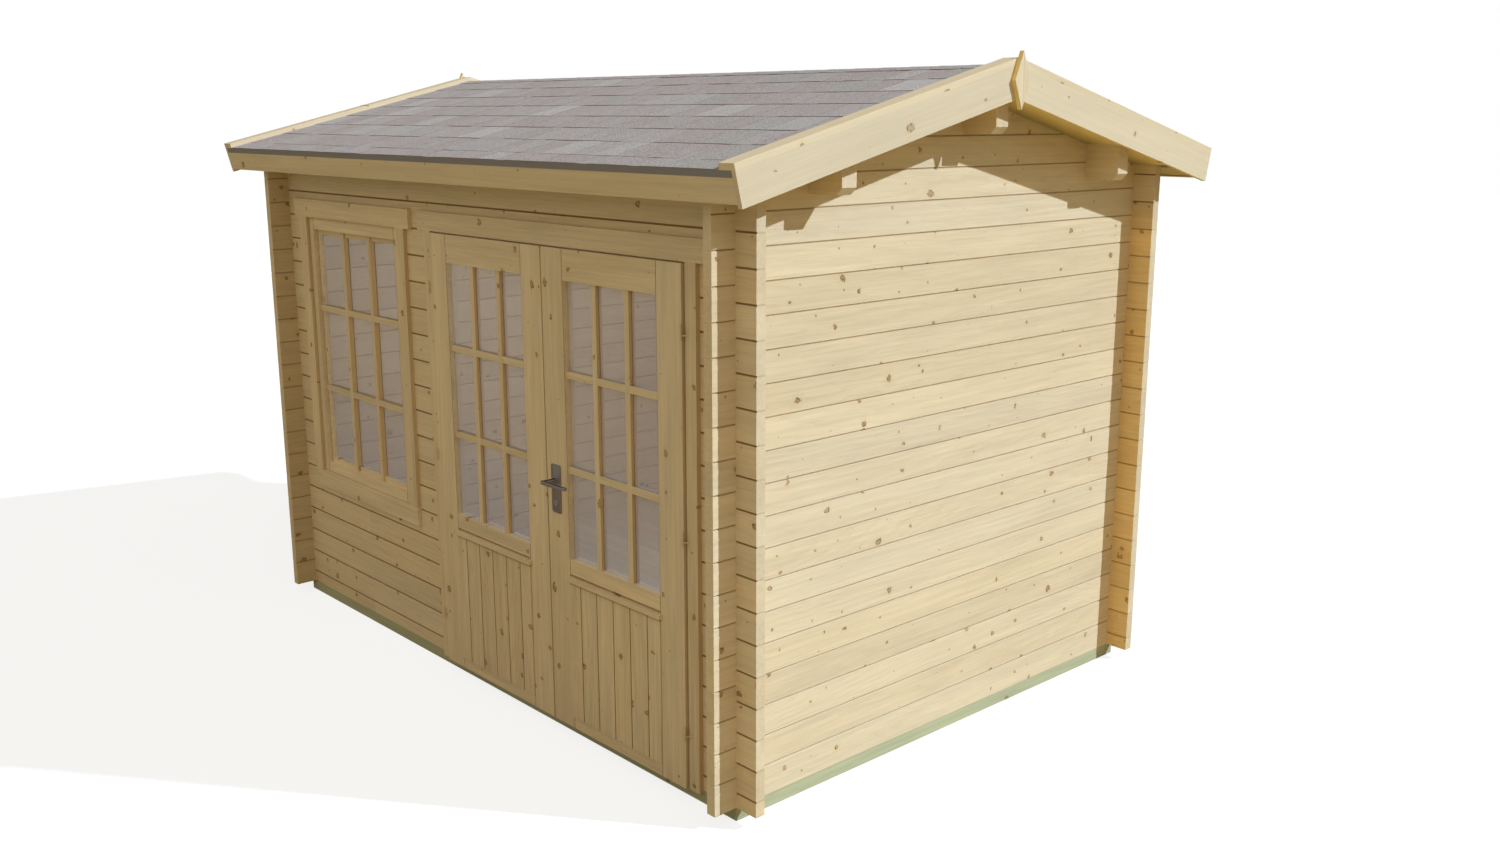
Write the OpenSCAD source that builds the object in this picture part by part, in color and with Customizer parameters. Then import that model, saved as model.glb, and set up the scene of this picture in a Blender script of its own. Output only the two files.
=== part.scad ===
// Garden house of machined logs with a double glazed door, a nine-pane window and a low gable roof.
// Frame: X runs along the front wall, +Y goes to the back, +Z is up. The origin lies on the ground,
// under the middle of the house. Every size is in millimetres.

/* [Walls] */
// Length of the house over the outer faces of the gable walls
house_w = 3300; // [3000:10:4200]
// Depth of the house over the outer faces of the front and rear walls
house_d = 2300; // [2000:10:3200]
// Thickness of a log
log_t = 40; // [28:1:60]
// Height that one log adds to a wall
log_h = 114; // [100:1:140]
// Length of a log end beyond the crossing wall
log_end = 100; // [60:5:150]
// Size of the chamfers that form the groove between two logs
groove = 4; // [2:0.5:8]

/* [Foundation and floor] */
// Height of the foundation beams
beam_h = 50; // [40:1:70]
// Width of the foundation beams
beam_w = 60; // [50:1:80]
// Number of joists between the front and rear beams
joists = 4; // [2:1:6]
// Thickness of the floor boards
floor_t = 20; // [16:1:28]

/* [Roof] */
// Pitch of the roof in degrees
pitch = 14; // [10:0.5:20]
// Height of the underside of the roof boards over the outer face of the front wall
plate_z = 2268; // [2200:1:2320]
// Distance down the slope from the ridge to the end of the eaves
slope_len = 1376; // [1340:1:1450]
// Overhang of the roof beyond each gable wall, over the barge boards
gable_over = 215; // [180:1:260]
// Thickness of the roof boards
roof_board_t = 18; // [16:1:22]
// Thickness of the shingle layers
shingle_t = 5; // [4:0.5:8]
// Width of the purlins
purlin_w = 68; // [50:1:80]
// Distance that the purlins stand out beyond the gable walls
purlin_over = 150; // [100:5:180]

/* [Trim] */
// Thickness of the barge boards, eave boards and finials
trim_t = 18; // [15:1:22]
// Height of the barge board below its cover lath
barge_h = 117; // [100:1:140]
// Width of the cover lath on the barge board
lath_w = 72; // [45:1:85]
// Thickness of the cover lath
lath_t = 22; // [15:1:25]
// Height of the eave board
eave_board_h = 82; // [60:1:100]
// Height of the finial
finial_h = 202; // [160:1:240]
// Width of the finial
finial_w = 84; // [60:1:110]

/* [Window] */
// Place of the middle of the window along the front wall
window_x = -970; // [-1100:5:-900]
// Width of the clear opening in the window casing
window_w = 865; // [700:5:900]
// Height of the lower edge of the casing's opening
window_z0 = 682; // [640:1:760]
// Height of the upper edge of the casing's opening
window_z1 = 1928; // [1880:1:1930]
// Width of the side and bottom boards of the window casing
window_casing_w = 72; // [60:1:85]

/* [Door] */
// Place of the line where the door leaves meet
door_x = 590; // [560:5:620]
// Half the width between the side boards of the door casing
door_half = 828; // [780:1:860]
// Width of the side boards of the door casing
door_casing_w = 56; // [40:1:60]
// Gap round the door leaves
door_gap = 5; // [5:0.5:8]
// Height of the head boards over the door and the window
head_h = 81; // [70:1:95]
// Length of the head boards beyond the side boards
head_over = 47; // [20:1:60]
// Thickness of the casing boards
casing_t = 18; // [15:1:22]
// Width of the stiles of a door leaf
stile_w = 134; // [110:1:145]
// Width of the glazing bars
bar_w = 28; // [22:1:34]
// Width of one board of the door panel
panel_board_w = 102; // [90:1:115]

/* [Hidden] */

// Small overlap that lets a cutting shape pass through a face
over = 1;
half_w = house_w / 2;
half_d = house_d / 2;
wall_z = beam_h;
courses = 23;
room_half_w = half_w - log_t;
room_half_d = half_d - log_t;
floor_gap = 8;

// Roof: a point is given by its distance down the slope and its height above the underside of the boards
tan_p = tan(pitch);
ridge_z = plate_z + half_d * tan_p;
wall_top = plate_z + log_t;
shingle_top = roof_board_t + shingle_t;
lath_top = shingle_top + lath_t;
barge_bottom = shingle_top - barge_h;
roof_half_w = half_w + gable_over - trim_t;
eave_strip_t = 3;
purlin_y = 788;
side_purlin_z = 2148;
ridge_purlin_z = 2336;
purlin_end_x = half_w + purlin_over;
purlin_bevel = 25;
soffit_drop = 77;
soffit_t = 16;
soffit_gap = 1;

// Front face planes: how far each face lies behind (+) or in front (-) of the outer face of the front wall
front_y = -half_d;
leaf_front = -29;
leaf_lip_back = -5;
leaf_back = 16;
lining_back = 46;

// Log courses over which the openings reach
head_z = wall_z + 16.5 * log_h;
window_lining_t = 15;
window_half = window_w / 2;
window_rough_half = window_half + window_lining_t;
window_rough_z0 = window_z0 - window_lining_t;
window_rough_z1 = window_z1 + window_lining_t;
head_casing_top = head_z + head_h;
window_casing_drop = 80;

// Sash, set back behind the casing
sash_gap = 3;
sash_front = -3;
sash_back = 40;
stop_w = 14;
sash_stile_w = 40;
sash_bottom_w = 45;
sash_top_w = 54;
bead_front = 18;
bead_w = 23;
sash_bar_front = 11;
glass_t = 4;
sash_glass_y = 32;

// Door opening, frame and leaves
door_rebate = 15;
leaf_half = door_half - door_gap;
meeting_gap = 3.25;
leaf_w = leaf_half - meeting_gap;
leaf_z0 = 41;
leaf_z1 = head_z - door_gap;
jamb_in = leaf_half - door_rebate;
jamb_w = 50;
door_rough_half = jamb_in + jamb_w;
sill_top = wall_z + 21;
frame_head_z = leaf_z1 - door_rebate;
body_half = jamb_in - door_gap;
body_z0 = sill_top + door_gap;
body_z1 = frame_head_z - door_gap;
meeting_set_back = 3;
casing_z0 = 39;
glass_z0 = 738;
glass_z1 = 1810;
rail_z0 = 648;
drip_z0 = 652;
drip_h = 18;
drip_fall = 2;
drip_out = 16;
drip_over = 11;
drip_groove_h = 9;
drip_groove_depth = 8;
panel_z0 = 90;
panel_front = leaf_front - 5;
panel_t = 18;
first_board_w = 72;
panel_groove = 3;
joint_w = 1.6;
joint_depth = 1.5;
leaf_glass_y = -8;
leaf_bar_front = -20;
leaf_bar_back = 7;

// Hinges: the upper barrel turns with the leaf, the lower barrel and its pin stay on the casing.
// Each barrel stands on a peg that is driven into the wood.
hinge_x = 826;
hinge_y = -37;
hinge_r = 5.5;
hinge_h = 26;
hinge_pin_r = 2.5;
hinge_pin_h = 2 * hinge_h - 4;
hinge_bore_r = 2.58;
hinge_gap = 1;
peg_r = 2.5;
peg_len = 34;
leaf_peg_turn = 35;
casing_peg_turn = -35;
hinge_levels = [260, 980, 1700];

// Handle on the right leaf: spindle axis, plate and lever
handle_x = 65;
handle_z = 1040;
plate_w = 57;
plate_h = 190;
plate_below = 130;
plate_t = 4;
key_z = -90;
spindle_r = 8;
spindle_plate_r = 8.6;
spindle_hole_r = 13;
lever_len = 152;
lever_h = 16;
lever_t = 11;
lever_reach = 70;

// ---------- helpers ----------

// Box between two opposite corners
module box(a, b) {
    translate(a) cube([b[0] - a[0], b[1] - a[1], b[2] - a[2]]);
}

// Height of the underside of the roof boards at a distance from the middle of the house
function under_roof(y) = ridge_z - abs(y) * tan_p;

// Point of a roof section, u down the front slope and n above the underside of the boards, as [y, z]
function slope_point(u, n) = [
    -u * cos(pitch) - n * sin(pitch),
    ridge_z - u * sin(pitch) + n * cos(pitch)
];

// Outline between two heights above the boards' underside, cut upright at the ridge
function slope_outline(n0, n1, u_end) = [
    slope_point(-n0 * tan_p, n0), slope_point(u_end, n0),
    slope_point(u_end, n1), slope_point(-n1 * tan_p, n1)
];

// Outline between two heights and two distances down the slope
function slope_strip(n0, n1, u0, u1) = [
    slope_point(u0, n0), slope_point(u1, n0), slope_point(u1, n1), slope_point(u0, n1)
];

// Extrudes a [y, z] outline along X
module along_x(x0, x1, outline) {
    translate([x0, 0, 0]) rotate([90, 0, 90]) linear_extrude(height = x1 - x0) polygon(outline);
}

// Extrudes an [x, z] outline along Y
module along_y(y0, y1, outline) {
    translate([0, y1, 0]) rotate([90, 0, 0]) linear_extrude(height = y1 - y0) polygon(outline);
}

// Shape and its mirror image at the other side of the house
module both_slopes() {
    children();
    mirror([0, 1, 0]) children();
}

// Heights of the log joints between z0 and z1
function joint_list(z0, z1, first) = [
    for (z = [first : log_h : z1 - 1]) if (z > z0 + 1) z
];

// Outline of stacked logs: the wall runs from t0 to t0 + log_t, and has a groove at every joint.
// cut0 and cut1 are the chamfers at its lower and upper edges.
function stack_outline(t0, z0, z1, joints, cut0 = 0, cut1 = 0) = concat(
    cut0 > 0 ? [[t0 + cut0, z0], [t0, z0 + cut0]] : [[t0, z0]],
    [for (z = joints) each [[t0, z - groove], [t0 + groove, z], [t0, z + groove]]],
    cut1 > 0 ? [[t0, z1 - cut1], [t0 + cut1, z1], [t0 + log_t - cut1, z1], [t0 + log_t, z1 - cut1]]
        : [[t0, z1], [t0 + log_t, z1]],
    [for (i = [len(joints) - 1 : -1 : 0]) let (z = joints[i])
        each [[t0 + log_t, z + groove], [t0 + log_t - groove, z], [t0 + log_t, z - groove]]],
    cut0 > 0 ? [[t0 + log_t, z0 + cut0], [t0 + log_t - cut0, z0]] : [[t0 + log_t, z0]]
);

// Space under the roof boards, over the whole house and its log ends
module under_boards() {
    reach = half_d + log_end + over;
    along_x(-half_w - log_end - over, half_w + log_end + over,
        [[-reach, 0], [reach, 0], [reach, under_roof(reach)], [0, ridge_z], [-reach, under_roof(reach)]]);
}

// Log cores of the gable walls in a crossing, which the front and rear logs leave free
module gable_bands(y0) {
    for (side = [-1, 1], i = [0 : courses])
        box([side * (half_w - log_t / 2) - log_t / 2, y0 - over, wall_z + (i + 0.25) * log_h],
            [side * (half_w - log_t / 2) + log_t / 2, y0 + log_t + over, wall_z + (i + 0.75) * log_h]);
}

// Log cores of the front and rear walls in a crossing, which the gable logs leave free
module front_bands(x0) {
    for (side = [-1, 1], i = [0 : courses])
        box([x0 - over, side * (half_d - log_t / 2) - log_t / 2, wall_z + (i - 0.25) * log_h],
            [x0 + log_t + over, side * (half_d - log_t / 2) + log_t / 2, wall_z + (i + 0.25) * log_h]);
}

// Part of a long wall whose near face lies at y0
module long_wall(y0, x0, x1, z0, z1) {
    cut0 = z0 == head_z ? groove : 0;
    cut1 = z1 == head_z ? groove : 0;
    joints = joint_list(z0, min(z1, plate_z - groove), wall_z + log_h / 2);
    difference() {
        intersection() {
            along_x(x0, x1, stack_outline(y0, z0, z1, joints, cut0, cut1));
            under_boards();
        }
        gable_bands(y0);
    }
}

// Gable wall whose outer face lies at x = side * half_w
module gable_wall(side) {
    x0 = side > 0 ? half_w - log_t : -half_w;
    difference() {
        intersection() {
            along_y(-half_d - log_end, half_d + log_end,
                stack_outline(x0, wall_z, ridge_z + over, joint_list(wall_z, ridge_z, wall_z + log_h)));
            under_boards();
        }
        front_bands(x0);
        notch(x0, 0, ridge_purlin_z);
        notch(x0, -purlin_y, side_purlin_z);
        notch(x0, purlin_y, side_purlin_z);
    }
}

// Notch for a purlin in the top of a gable wall whose thickness starts at x0
module notch(x0, y, bottom) {
    box([x0 - over, y - purlin_w / 2, bottom], [x0 + log_t + over, y + purlin_w / 2, ridge_z + 2 * over]);
}

// ---------- foundation and floor ----------

module foundation_beams() {
    color("darkseagreen") {
        for (side = [-1, 1]) {
            box([-half_w, side * (half_d - beam_w / 2) - beam_w / 2, 0],
                [half_w, side * (half_d - beam_w / 2) + beam_w / 2, beam_h]);
            box([side * (half_w - beam_w / 2) - beam_w / 2, -half_d, 0],
                [side * (half_w - beam_w / 2) + beam_w / 2, half_d, beam_h]);
        }
    }
}

module floor_joists() {
    pitch_x = house_w / (joists + 1);
    color("darkseagreen") for (i = [1 : joists])
        translate([-half_w + i * pitch_x, 0, 0])
            box([-beam_w / 2, -half_d + beam_w, 0], [beam_w / 2, half_d - beam_w, beam_h]);
}

module floor_boards() {
    x1 = room_half_w - floor_gap;
    y1 = room_half_d - floor_gap;
    color("burlywood") box([-x1, -y1, beam_h], [x1, y1, beam_h + floor_t]);
}

// ---------- walls ----------

module front_wall_left() {
    color("tan") long_wall(front_y, -half_w - log_end, window_x - window_rough_half, wall_z, head_z);
}

module front_wall_under_window() {
    color("tan")
        long_wall(front_y, window_x - window_rough_half, window_x + window_rough_half, wall_z, window_rough_z0);
}

module front_wall_middle() {
    color("tan")
        long_wall(front_y, window_x + window_rough_half, door_x - door_rough_half, wall_z, head_z);
}

module front_wall_right() {
    color("tan") long_wall(front_y, door_x + door_rough_half, half_w + log_end, wall_z, head_z);
}

module front_wall_top() {
    color("tan") difference() {
        long_wall(front_y, -half_w - log_end, half_w + log_end, head_z, wall_top);
        box([window_x - window_rough_half, front_y - over, head_z - over],
            [window_x + window_rough_half, front_y + log_t + over, window_rough_z1]);
    }
}

module rear_wall() {
    color("tan") long_wall(half_d - log_t, -half_w - log_end, half_w + log_end, wall_z, wall_top);
}

module left_gable_wall() {
    color("wheat") gable_wall(-1);
}

module right_gable_wall() {
    color("wheat") gable_wall(1);
}

// ---------- roof ----------

// Purlin with bevelled lower ends, its middle at y, its top under the roof boards
module purlin(y, bottom) {
    reach = purlin_w / 2;
    peak = abs(y) < reach ? [[0, ridge_z]] : [];
    intersection() {
        along_x(-purlin_end_x, purlin_end_x, concat(
            [[y - reach, bottom], [y + reach, bottom], [y + reach, under_roof(y + reach)]],
            peak, [[y - reach, under_roof(y - reach)]]));
        along_y(y - reach - over, y + reach + over, [
            [-purlin_end_x + purlin_bevel, bottom], [purlin_end_x - purlin_bevel, bottom],
            [purlin_end_x, bottom + purlin_bevel], [purlin_end_x, ridge_z + over],
            [-purlin_end_x, ridge_z + over], [-purlin_end_x, bottom + purlin_bevel]
        ]);
    }
}

module purlins() {
    color("burlywood") {
        purlin(0, ridge_purlin_z);
        purlin(-purlin_y, side_purlin_z);
        purlin(purlin_y, side_purlin_z);
    }
}

module roof_slab() {
    along_x(-roof_half_w, roof_half_w, slope_outline(0, roof_board_t, slope_len - eave_strip_t));
}

// Shingles on the boards, folded down over the boards' lower edge
module shingle_sheet() {
    along_x(-roof_half_w, roof_half_w, concat(
        [slope_point(-roof_board_t * tan_p, roof_board_t),
         slope_point(slope_len - eave_strip_t, roof_board_t),
         slope_point(slope_len - eave_strip_t, 0),
         slope_point(slope_len, 0)],
        [slope_point(slope_len, shingle_top), slope_point(-shingle_top * tan_p, shingle_top)]));
}

module front_roof_boards() {
    color("burlywood") roof_slab();
}

module rear_roof_boards() {
    color("burlywood") mirror([0, 1, 0]) roof_slab();
}

module front_shingles() {
    color("dimgray") shingle_sheet();
}

module rear_shingles() {
    color("dimgray") mirror([0, 1, 0]) shingle_sheet();
}

module eave_boards() {
    color("tan") both_slopes()
        along_x(-roof_half_w, roof_half_w, slope_strip(-eave_board_h, 0, slope_len - trim_t, slope_len));
}

// Boards below the overhang at the right gable. They fill the space between the wall and the barge
// boards and leave room for the purlins and for the log ends of the front and rear walls.
module verge_soffit() {
    difference() {
        both_slopes() along_x(half_w, roof_half_w,
            slope_outline(-soffit_drop, soffit_t - soffit_drop, slope_len - trim_t));
        for (y = [-purlin_y, 0, purlin_y])
            box([half_w - over, y - purlin_w / 2 - soffit_gap, wall_z],
                [purlin_end_x + soffit_gap, y + purlin_w / 2 + soffit_gap, ridge_z]);
        for (y = [-half_d, half_d - log_t])
            box([half_w - over, y - soffit_gap, wall_z],
                [roof_half_w + over, y + log_t + soffit_gap, ridge_z]);
    }
}

module verge_soffits() {
    color("tan") for (side = [0, 1])
        mirror([side, 0, 0]) verge_soffit();
}

// Barge board of the front slope at the right gable
module barge_shape() {
    along_x(roof_half_w, roof_half_w + trim_t, slope_outline(barge_bottom, shingle_top, slope_len));
}

module left_front_barge_board() {
    color("wheat") mirror([1, 0, 0]) barge_shape();
}

module left_rear_barge_board() {
    color("wheat") mirror([1, 0, 0]) mirror([0, 1, 0]) barge_shape();
}

module right_front_barge_board() {
    color("wheat") barge_shape();
}

module right_rear_barge_board() {
    color("wheat") mirror([0, 1, 0]) barge_shape();
}

// Laths of both slopes at the right gable, joined over the ridge
module lath_shape() {
    edge = half_w + gable_over;
    both_slopes() along_x(edge - lath_w, edge, slope_outline(shingle_top, lath_top, slope_len));
}

module cover_laths() {
    color("wheat") for (side = [0, 1])
        mirror([side, 0, 0]) lath_shape();
}

// Kite-shaped boards in front of the barge boards' joint
module finials() {
    middle = ridge_z + lath_top / cos(pitch) - 79;
    outline = [[0, middle + finial_h / 2], [-finial_w / 2, middle], [0, middle - finial_h / 2],
        [finial_w / 2, middle]];
    edge = half_w + gable_over;
    color("wheat") for (side = [0, 1])
        mirror([side, 0, 0]) along_x(edge, edge + trim_t, outline);
}

// ---------- window ----------

// Grid of bars that divides an opening into three by three panes. The level bars are spaced as if the
// opening were higher by extra at both ends, and every bar runs on by reach beyond the opening.
module bar_grid(x0, x1, z0, z1, y0, y1, extra = 0, reach = 0) {
    pane_w = (x1 - x0 - 2 * bar_w) / 3;
    pane_h = (z1 - z0 + 2 * extra - 2 * bar_w) / 3;
    for (i = [1, 2]) {
        bar_x = x0 + i * pane_w + (i - 1) * bar_w;
        bar_z = z0 - extra + i * pane_h + (i - 1) * bar_w;
        box([bar_x, y0, z0 - reach], [bar_x + bar_w, y1, z1 + reach]);
        box([x0 - reach, y0, bar_z], [x1 + reach, y1, bar_z + bar_w]);
    }
}

// Rectangular ring of boards between an inner and an outer outline
module ring(x0, x1, z0, z1, y0, y1, side, bottom, top) {
    difference() {
        box([x0, y0, z0], [x1, y1, z1]);
        box([x0 + side, y0 - over, z0 + bottom], [x1 - side, y1 + over, z1 - top]);
    }
}

module window_casing() {
    color("tan") {
        ring(window_x - window_half - window_casing_w, window_x + window_half + window_casing_w,
            window_z0 - window_casing_drop, window_z1 + 1, front_y - casing_t, front_y,
            window_casing_w, window_casing_drop, 1);
        box([window_x - window_half - window_casing_w - head_over, front_y - casing_t, window_z1],
            [window_x + window_half + window_casing_w + head_over, front_y, head_casing_top]);
    }
}

module window_frame() {
    stop = window_lining_t + stop_w;
    color("burlywood") {
        ring(window_x - window_rough_half, window_x + window_rough_half,
            window_rough_z0, window_rough_z1, front_y, front_y + lining_back,
            window_lining_t, window_lining_t, window_lining_t);
        ring(window_x - window_rough_half, window_x + window_rough_half,
            window_rough_z0, window_rough_z1, front_y + sash_back, front_y + lining_back,
            stop, stop, stop);
    }
}

sash_half = window_half - sash_gap;
sash_z0 = window_z0 + sash_gap;
sash_z1 = window_z1 - sash_gap;
pane_x0 = window_x - sash_half + sash_stile_w + bead_w;
pane_x1 = window_x + sash_half - sash_stile_w - bead_w;
pane_z0 = sash_z0 + sash_bottom_w + bead_w;
pane_z1 = sash_z1 - sash_top_w - bead_w;

// Sash with a glazing bead that lies deeper than its face
module window_sash() {
    x0 = window_x - sash_half;
    x1 = window_x + sash_half;
    color("tan") {
        ring(x0, x1, sash_z0, sash_z1, front_y + sash_front, front_y + sash_back,
            sash_stile_w, sash_bottom_w, sash_top_w);
        ring(x0, x1, sash_z0, sash_z1, front_y + bead_front, front_y + sash_back,
            sash_stile_w + bead_w, sash_bottom_w + bead_w, sash_top_w + bead_w);
    }
}

// Bars before and behind the glass; the front ones lie over the glazing bead
module window_bars() {
    color("tan") {
        bar_grid(pane_x0, pane_x1, pane_z0, pane_z1,
            front_y + sash_bar_front, front_y + bead_front, bead_w, bead_w);
        bar_grid(pane_x0, pane_x1, pane_z0, pane_z1, front_y + bead_front, front_y + sash_glass_y, bead_w);
        bar_grid(pane_x0, pane_x1, pane_z0, pane_z1,
            front_y + sash_glass_y + glass_t, front_y + sash_back - 1, bead_w);
    }
}

module window_glass() {
    color("lightsteelblue")
        box([pane_x0, front_y + sash_glass_y, pane_z0], [pane_x1, front_y + sash_glass_y + glass_t, pane_z1]);
}

// ---------- door ----------

module door_frame() {
    color("burlywood") difference() {
        box([door_x - door_rough_half, front_y, wall_z], [door_x + door_rough_half, front_y + lining_back, head_z]);
        box([door_x - jamb_in, front_y - over, sill_top],
            [door_x + jamb_in, front_y + lining_back + over, frame_head_z]);
    }
}

// Peg of a hinge half, from the hinge line into the wood, turned from straight back towards -x
module hinge_peg(z, turn) {
    translate([hinge_x, front_y + hinge_y, z]) rotate([-90, 0, turn]) cylinder(r = peg_r, h = peg_len, $fn = 32);
}

// Pegs of the lower halves, in the casing beside the right leaf
module casing_pegs() {
    for (z = hinge_levels)
        hinge_peg(z - (hinge_h + hinge_gap) / 2, casing_peg_turn);
}

// Pegs of the upper halves, in the right leaf
module leaf_pegs() {
    for (z = hinge_levels)
        hinge_peg(z + (hinge_h + hinge_gap) / 2, leaf_peg_turn);
}

module door_casing() {
    outer = door_half + door_casing_w;
    color("tan") difference() {
        union() {
            box([door_x - outer, front_y - casing_t, casing_z0], [door_x + outer, front_y, head_z + 1]);
            box([door_x - outer - head_over, front_y - casing_t, head_z],
                [door_x + outer + head_over, front_y, head_casing_top]);
        }
        box([door_x - door_half, front_y - casing_t - over, casing_z0 - over],
            [door_x + door_half, front_y + over, head_z]);
        both_leaves() casing_pegs();
    }
}

module casing_hinges() {
    color("silver") both_leaves() {
        for (z = hinge_levels) translate([hinge_x, front_y + hinge_y, z - hinge_h - hinge_gap / 2]) {
            cylinder(r = hinge_r, h = hinge_h, $fn = 32);
            cylinder(r = hinge_pin_r, h = hinge_pin_h, $fn = 32);
        }
        casing_pegs();
    }
}

// Shapes at the right leaf, with x counted from the meeting line, and their mirror image at the left
module both_leaves() {
    for (side = [0, 1])
        translate([door_x, 0, 0]) mirror([side, 0, 0]) children();
}

leaf_x0 = meeting_gap + stile_w;
leaf_x1 = leaf_half - stile_w;

module leaf_frame_shape() {
    difference() {
        union() {
            box([meeting_gap, front_y + leaf_front, leaf_z0], [leaf_half, front_y + leaf_lip_back, leaf_z1]);
            box([meeting_gap + meeting_set_back, front_y + leaf_lip_back - over, body_z0],
                [body_half, front_y + leaf_back, body_z1]);
        }
        box([leaf_x0, front_y + leaf_front - over, glass_z0], [leaf_x1, front_y + leaf_back + over, glass_z1]);
        box([leaf_x0, front_y + leaf_front - over, panel_z0], [leaf_x1, front_y + leaf_back + over, rail_z0]);
        box([leaf_x0, front_y + leaf_front - over, drip_z0 + drip_h],
            [leaf_x1, front_y + leaf_front + drip_groove_depth, drip_z0 + drip_h + drip_groove_h]);
        for (x = [leaf_x0, leaf_x1])
            box([x - joint_w / 2, front_y + leaf_front - over, leaf_z0 - over],
                [x + joint_w / 2, front_y + leaf_front + joint_depth, leaf_z1 + over]);
        leaf_pegs();
    }
}

// Tongued boards side by side, with a groove at every joint on both faces
module leaf_panel_shape() {
    y0 = front_y + panel_front;
    y1 = y0 + panel_t;
    joints = [for (x = [leaf_x0 + first_board_w : panel_board_w : leaf_x1 - 1]) x];
    outline = concat(
        [[leaf_x0, y0]],
        [for (x = joints) each [[x - panel_groove / 2, y0], [x, y0 + panel_groove], [x + panel_groove / 2, y0]]],
        [[leaf_x1, y0], [leaf_x1, y1]],
        [for (i = [len(joints) - 1 : -1 : 0]) let (x = joints[i])
            each [[x + panel_groove / 2, y1], [x, y1 - panel_groove], [x - panel_groove / 2, y1]]],
        [[leaf_x0, y1]]);
    translate([0, 0, panel_z0]) linear_extrude(height = rail_z0 - panel_z0) polygon(outline);
}

module leaf_glass_shape() {
    box([leaf_x0, front_y + leaf_glass_y, glass_z0], [leaf_x1, front_y + leaf_glass_y + glass_t, glass_z1]);
}

module leaf_bars_shape() {
    bar_grid(leaf_x0, leaf_x1, glass_z0, glass_z1, front_y + leaf_bar_front, front_y + leaf_glass_y);
    bar_grid(leaf_x0, leaf_x1, glass_z0, glass_z1,
        front_y + leaf_glass_y + glass_t, front_y + leaf_bar_back);
}

// Weather bar with a sloping top
module leaf_drip_shape() {
    face = front_y + leaf_front;
    along_x(leaf_x0 - drip_over, leaf_x1 + drip_over, [
        [face, drip_z0], [face, drip_z0 + drip_h], [face - drip_out, drip_z0 + drip_h - drip_fall],
        [face - drip_out, drip_z0]
    ]);
}

module leaf_hinges_shape() {
    difference() {
        union() {
            for (z = hinge_levels)
                translate([hinge_x, front_y + hinge_y, z + hinge_gap / 2])
                    cylinder(r = hinge_r, h = hinge_h, $fn = 32);
            leaf_pegs();
        }
        for (z = hinge_levels)
            translate([hinge_x, front_y + hinge_y, z - over])
                cylinder(r = hinge_bore_r, h = hinge_h, $fn = 32);
    }
}

module in_right_leaf() {
    translate([door_x, 0, 0]) children();
}

module in_left_leaf() {
    translate([door_x, 0, 0]) mirror([1, 0, 0]) children();
}

module left_door_frame() {
    color("tan") in_left_leaf() leaf_frame_shape();
}

module left_door_panel() {
    color("tan") in_left_leaf() leaf_panel_shape();
}

module left_door_glass() {
    color("lightsteelblue") in_left_leaf() leaf_glass_shape();
}

module left_door_bars() {
    color("tan") in_left_leaf() leaf_bars_shape();
}

module left_door_drip_bar() {
    color("tan") in_left_leaf() leaf_drip_shape();
}

module left_door_hinges() {
    color("silver") in_left_leaf() leaf_hinges_shape();
}

module right_door_frame() {
    color("tan") difference() {
        in_right_leaf() leaf_frame_shape();
        translate([door_x + handle_x, front_y + leaf_front - over, handle_z]) rotate([-90, 0, 0])
            cylinder(r = spindle_hole_r, h = leaf_back - leaf_front + 2 * over, $fn = 48);
    }
}

module right_door_panel() {
    color("tan") in_right_leaf() leaf_panel_shape();
}

module right_door_glass() {
    color("lightsteelblue") in_right_leaf() leaf_glass_shape();
}

module right_door_bars() {
    color("tan") in_right_leaf() leaf_bars_shape();
}

module right_door_drip_bar() {
    color("tan") in_right_leaf() leaf_drip_shape();
}

module right_door_hinges() {
    color("silver") in_right_leaf() leaf_hinges_shape();
}

// ---------- handle ----------

// Plate on one face of the leaf, with its back at y = 0 and its face towards -y
module handle_plate() {
    difference() {
        union() {
            translate([-plate_w / 2, -plate_t, -plate_below]) cube([plate_w, plate_t, plate_h]);
            translate([0, 0, key_z]) rotate([90, 0, 0]) cylinder(r = 16, h = plate_t + 2, $fn = 48);
        }
        rotate([90, 0, 0]) translate([0, 0, -over])
            cylinder(r = spindle_plate_r, h = plate_t + 2 * over, $fn = 48);
        translate([0, 0, key_z]) rotate([90, 0, 0]) translate([0, 0, plate_t - 1])
            cylinder(r = 8, h = 4, $fn = 48);
    }
}

module door_handle_plates() {
    color("dimgray") {
        translate([door_x + handle_x, front_y + leaf_front, handle_z]) handle_plate();
        translate([door_x + handle_x, front_y + leaf_back, handle_z]) mirror([0, 1, 0]) handle_plate();
    }
}

// Neck and bar of the lever on one face, with the leaf's face at y = 0
module lever_half() {
    rotate([90, 0, 0]) cylinder(r = spindle_r, h = lever_reach, $fn = 48);
    translate([-spindle_r - 1, -lever_reach, -lever_h / 2]) cube([lever_len, lever_t, lever_h]);
}

module door_handle() {
    color("dimgray") {
        translate([door_x + handle_x, front_y + leaf_front, handle_z]) lever_half();
        translate([door_x + handle_x, front_y + leaf_back, handle_z]) mirror([0, 1, 0]) lever_half();
        translate([door_x + handle_x, front_y + leaf_front - over, handle_z]) rotate([-90, 0, 0])
            cylinder(r = spindle_r, h = leaf_back - leaf_front + 2 * over, $fn = 48);
    }
}

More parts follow.
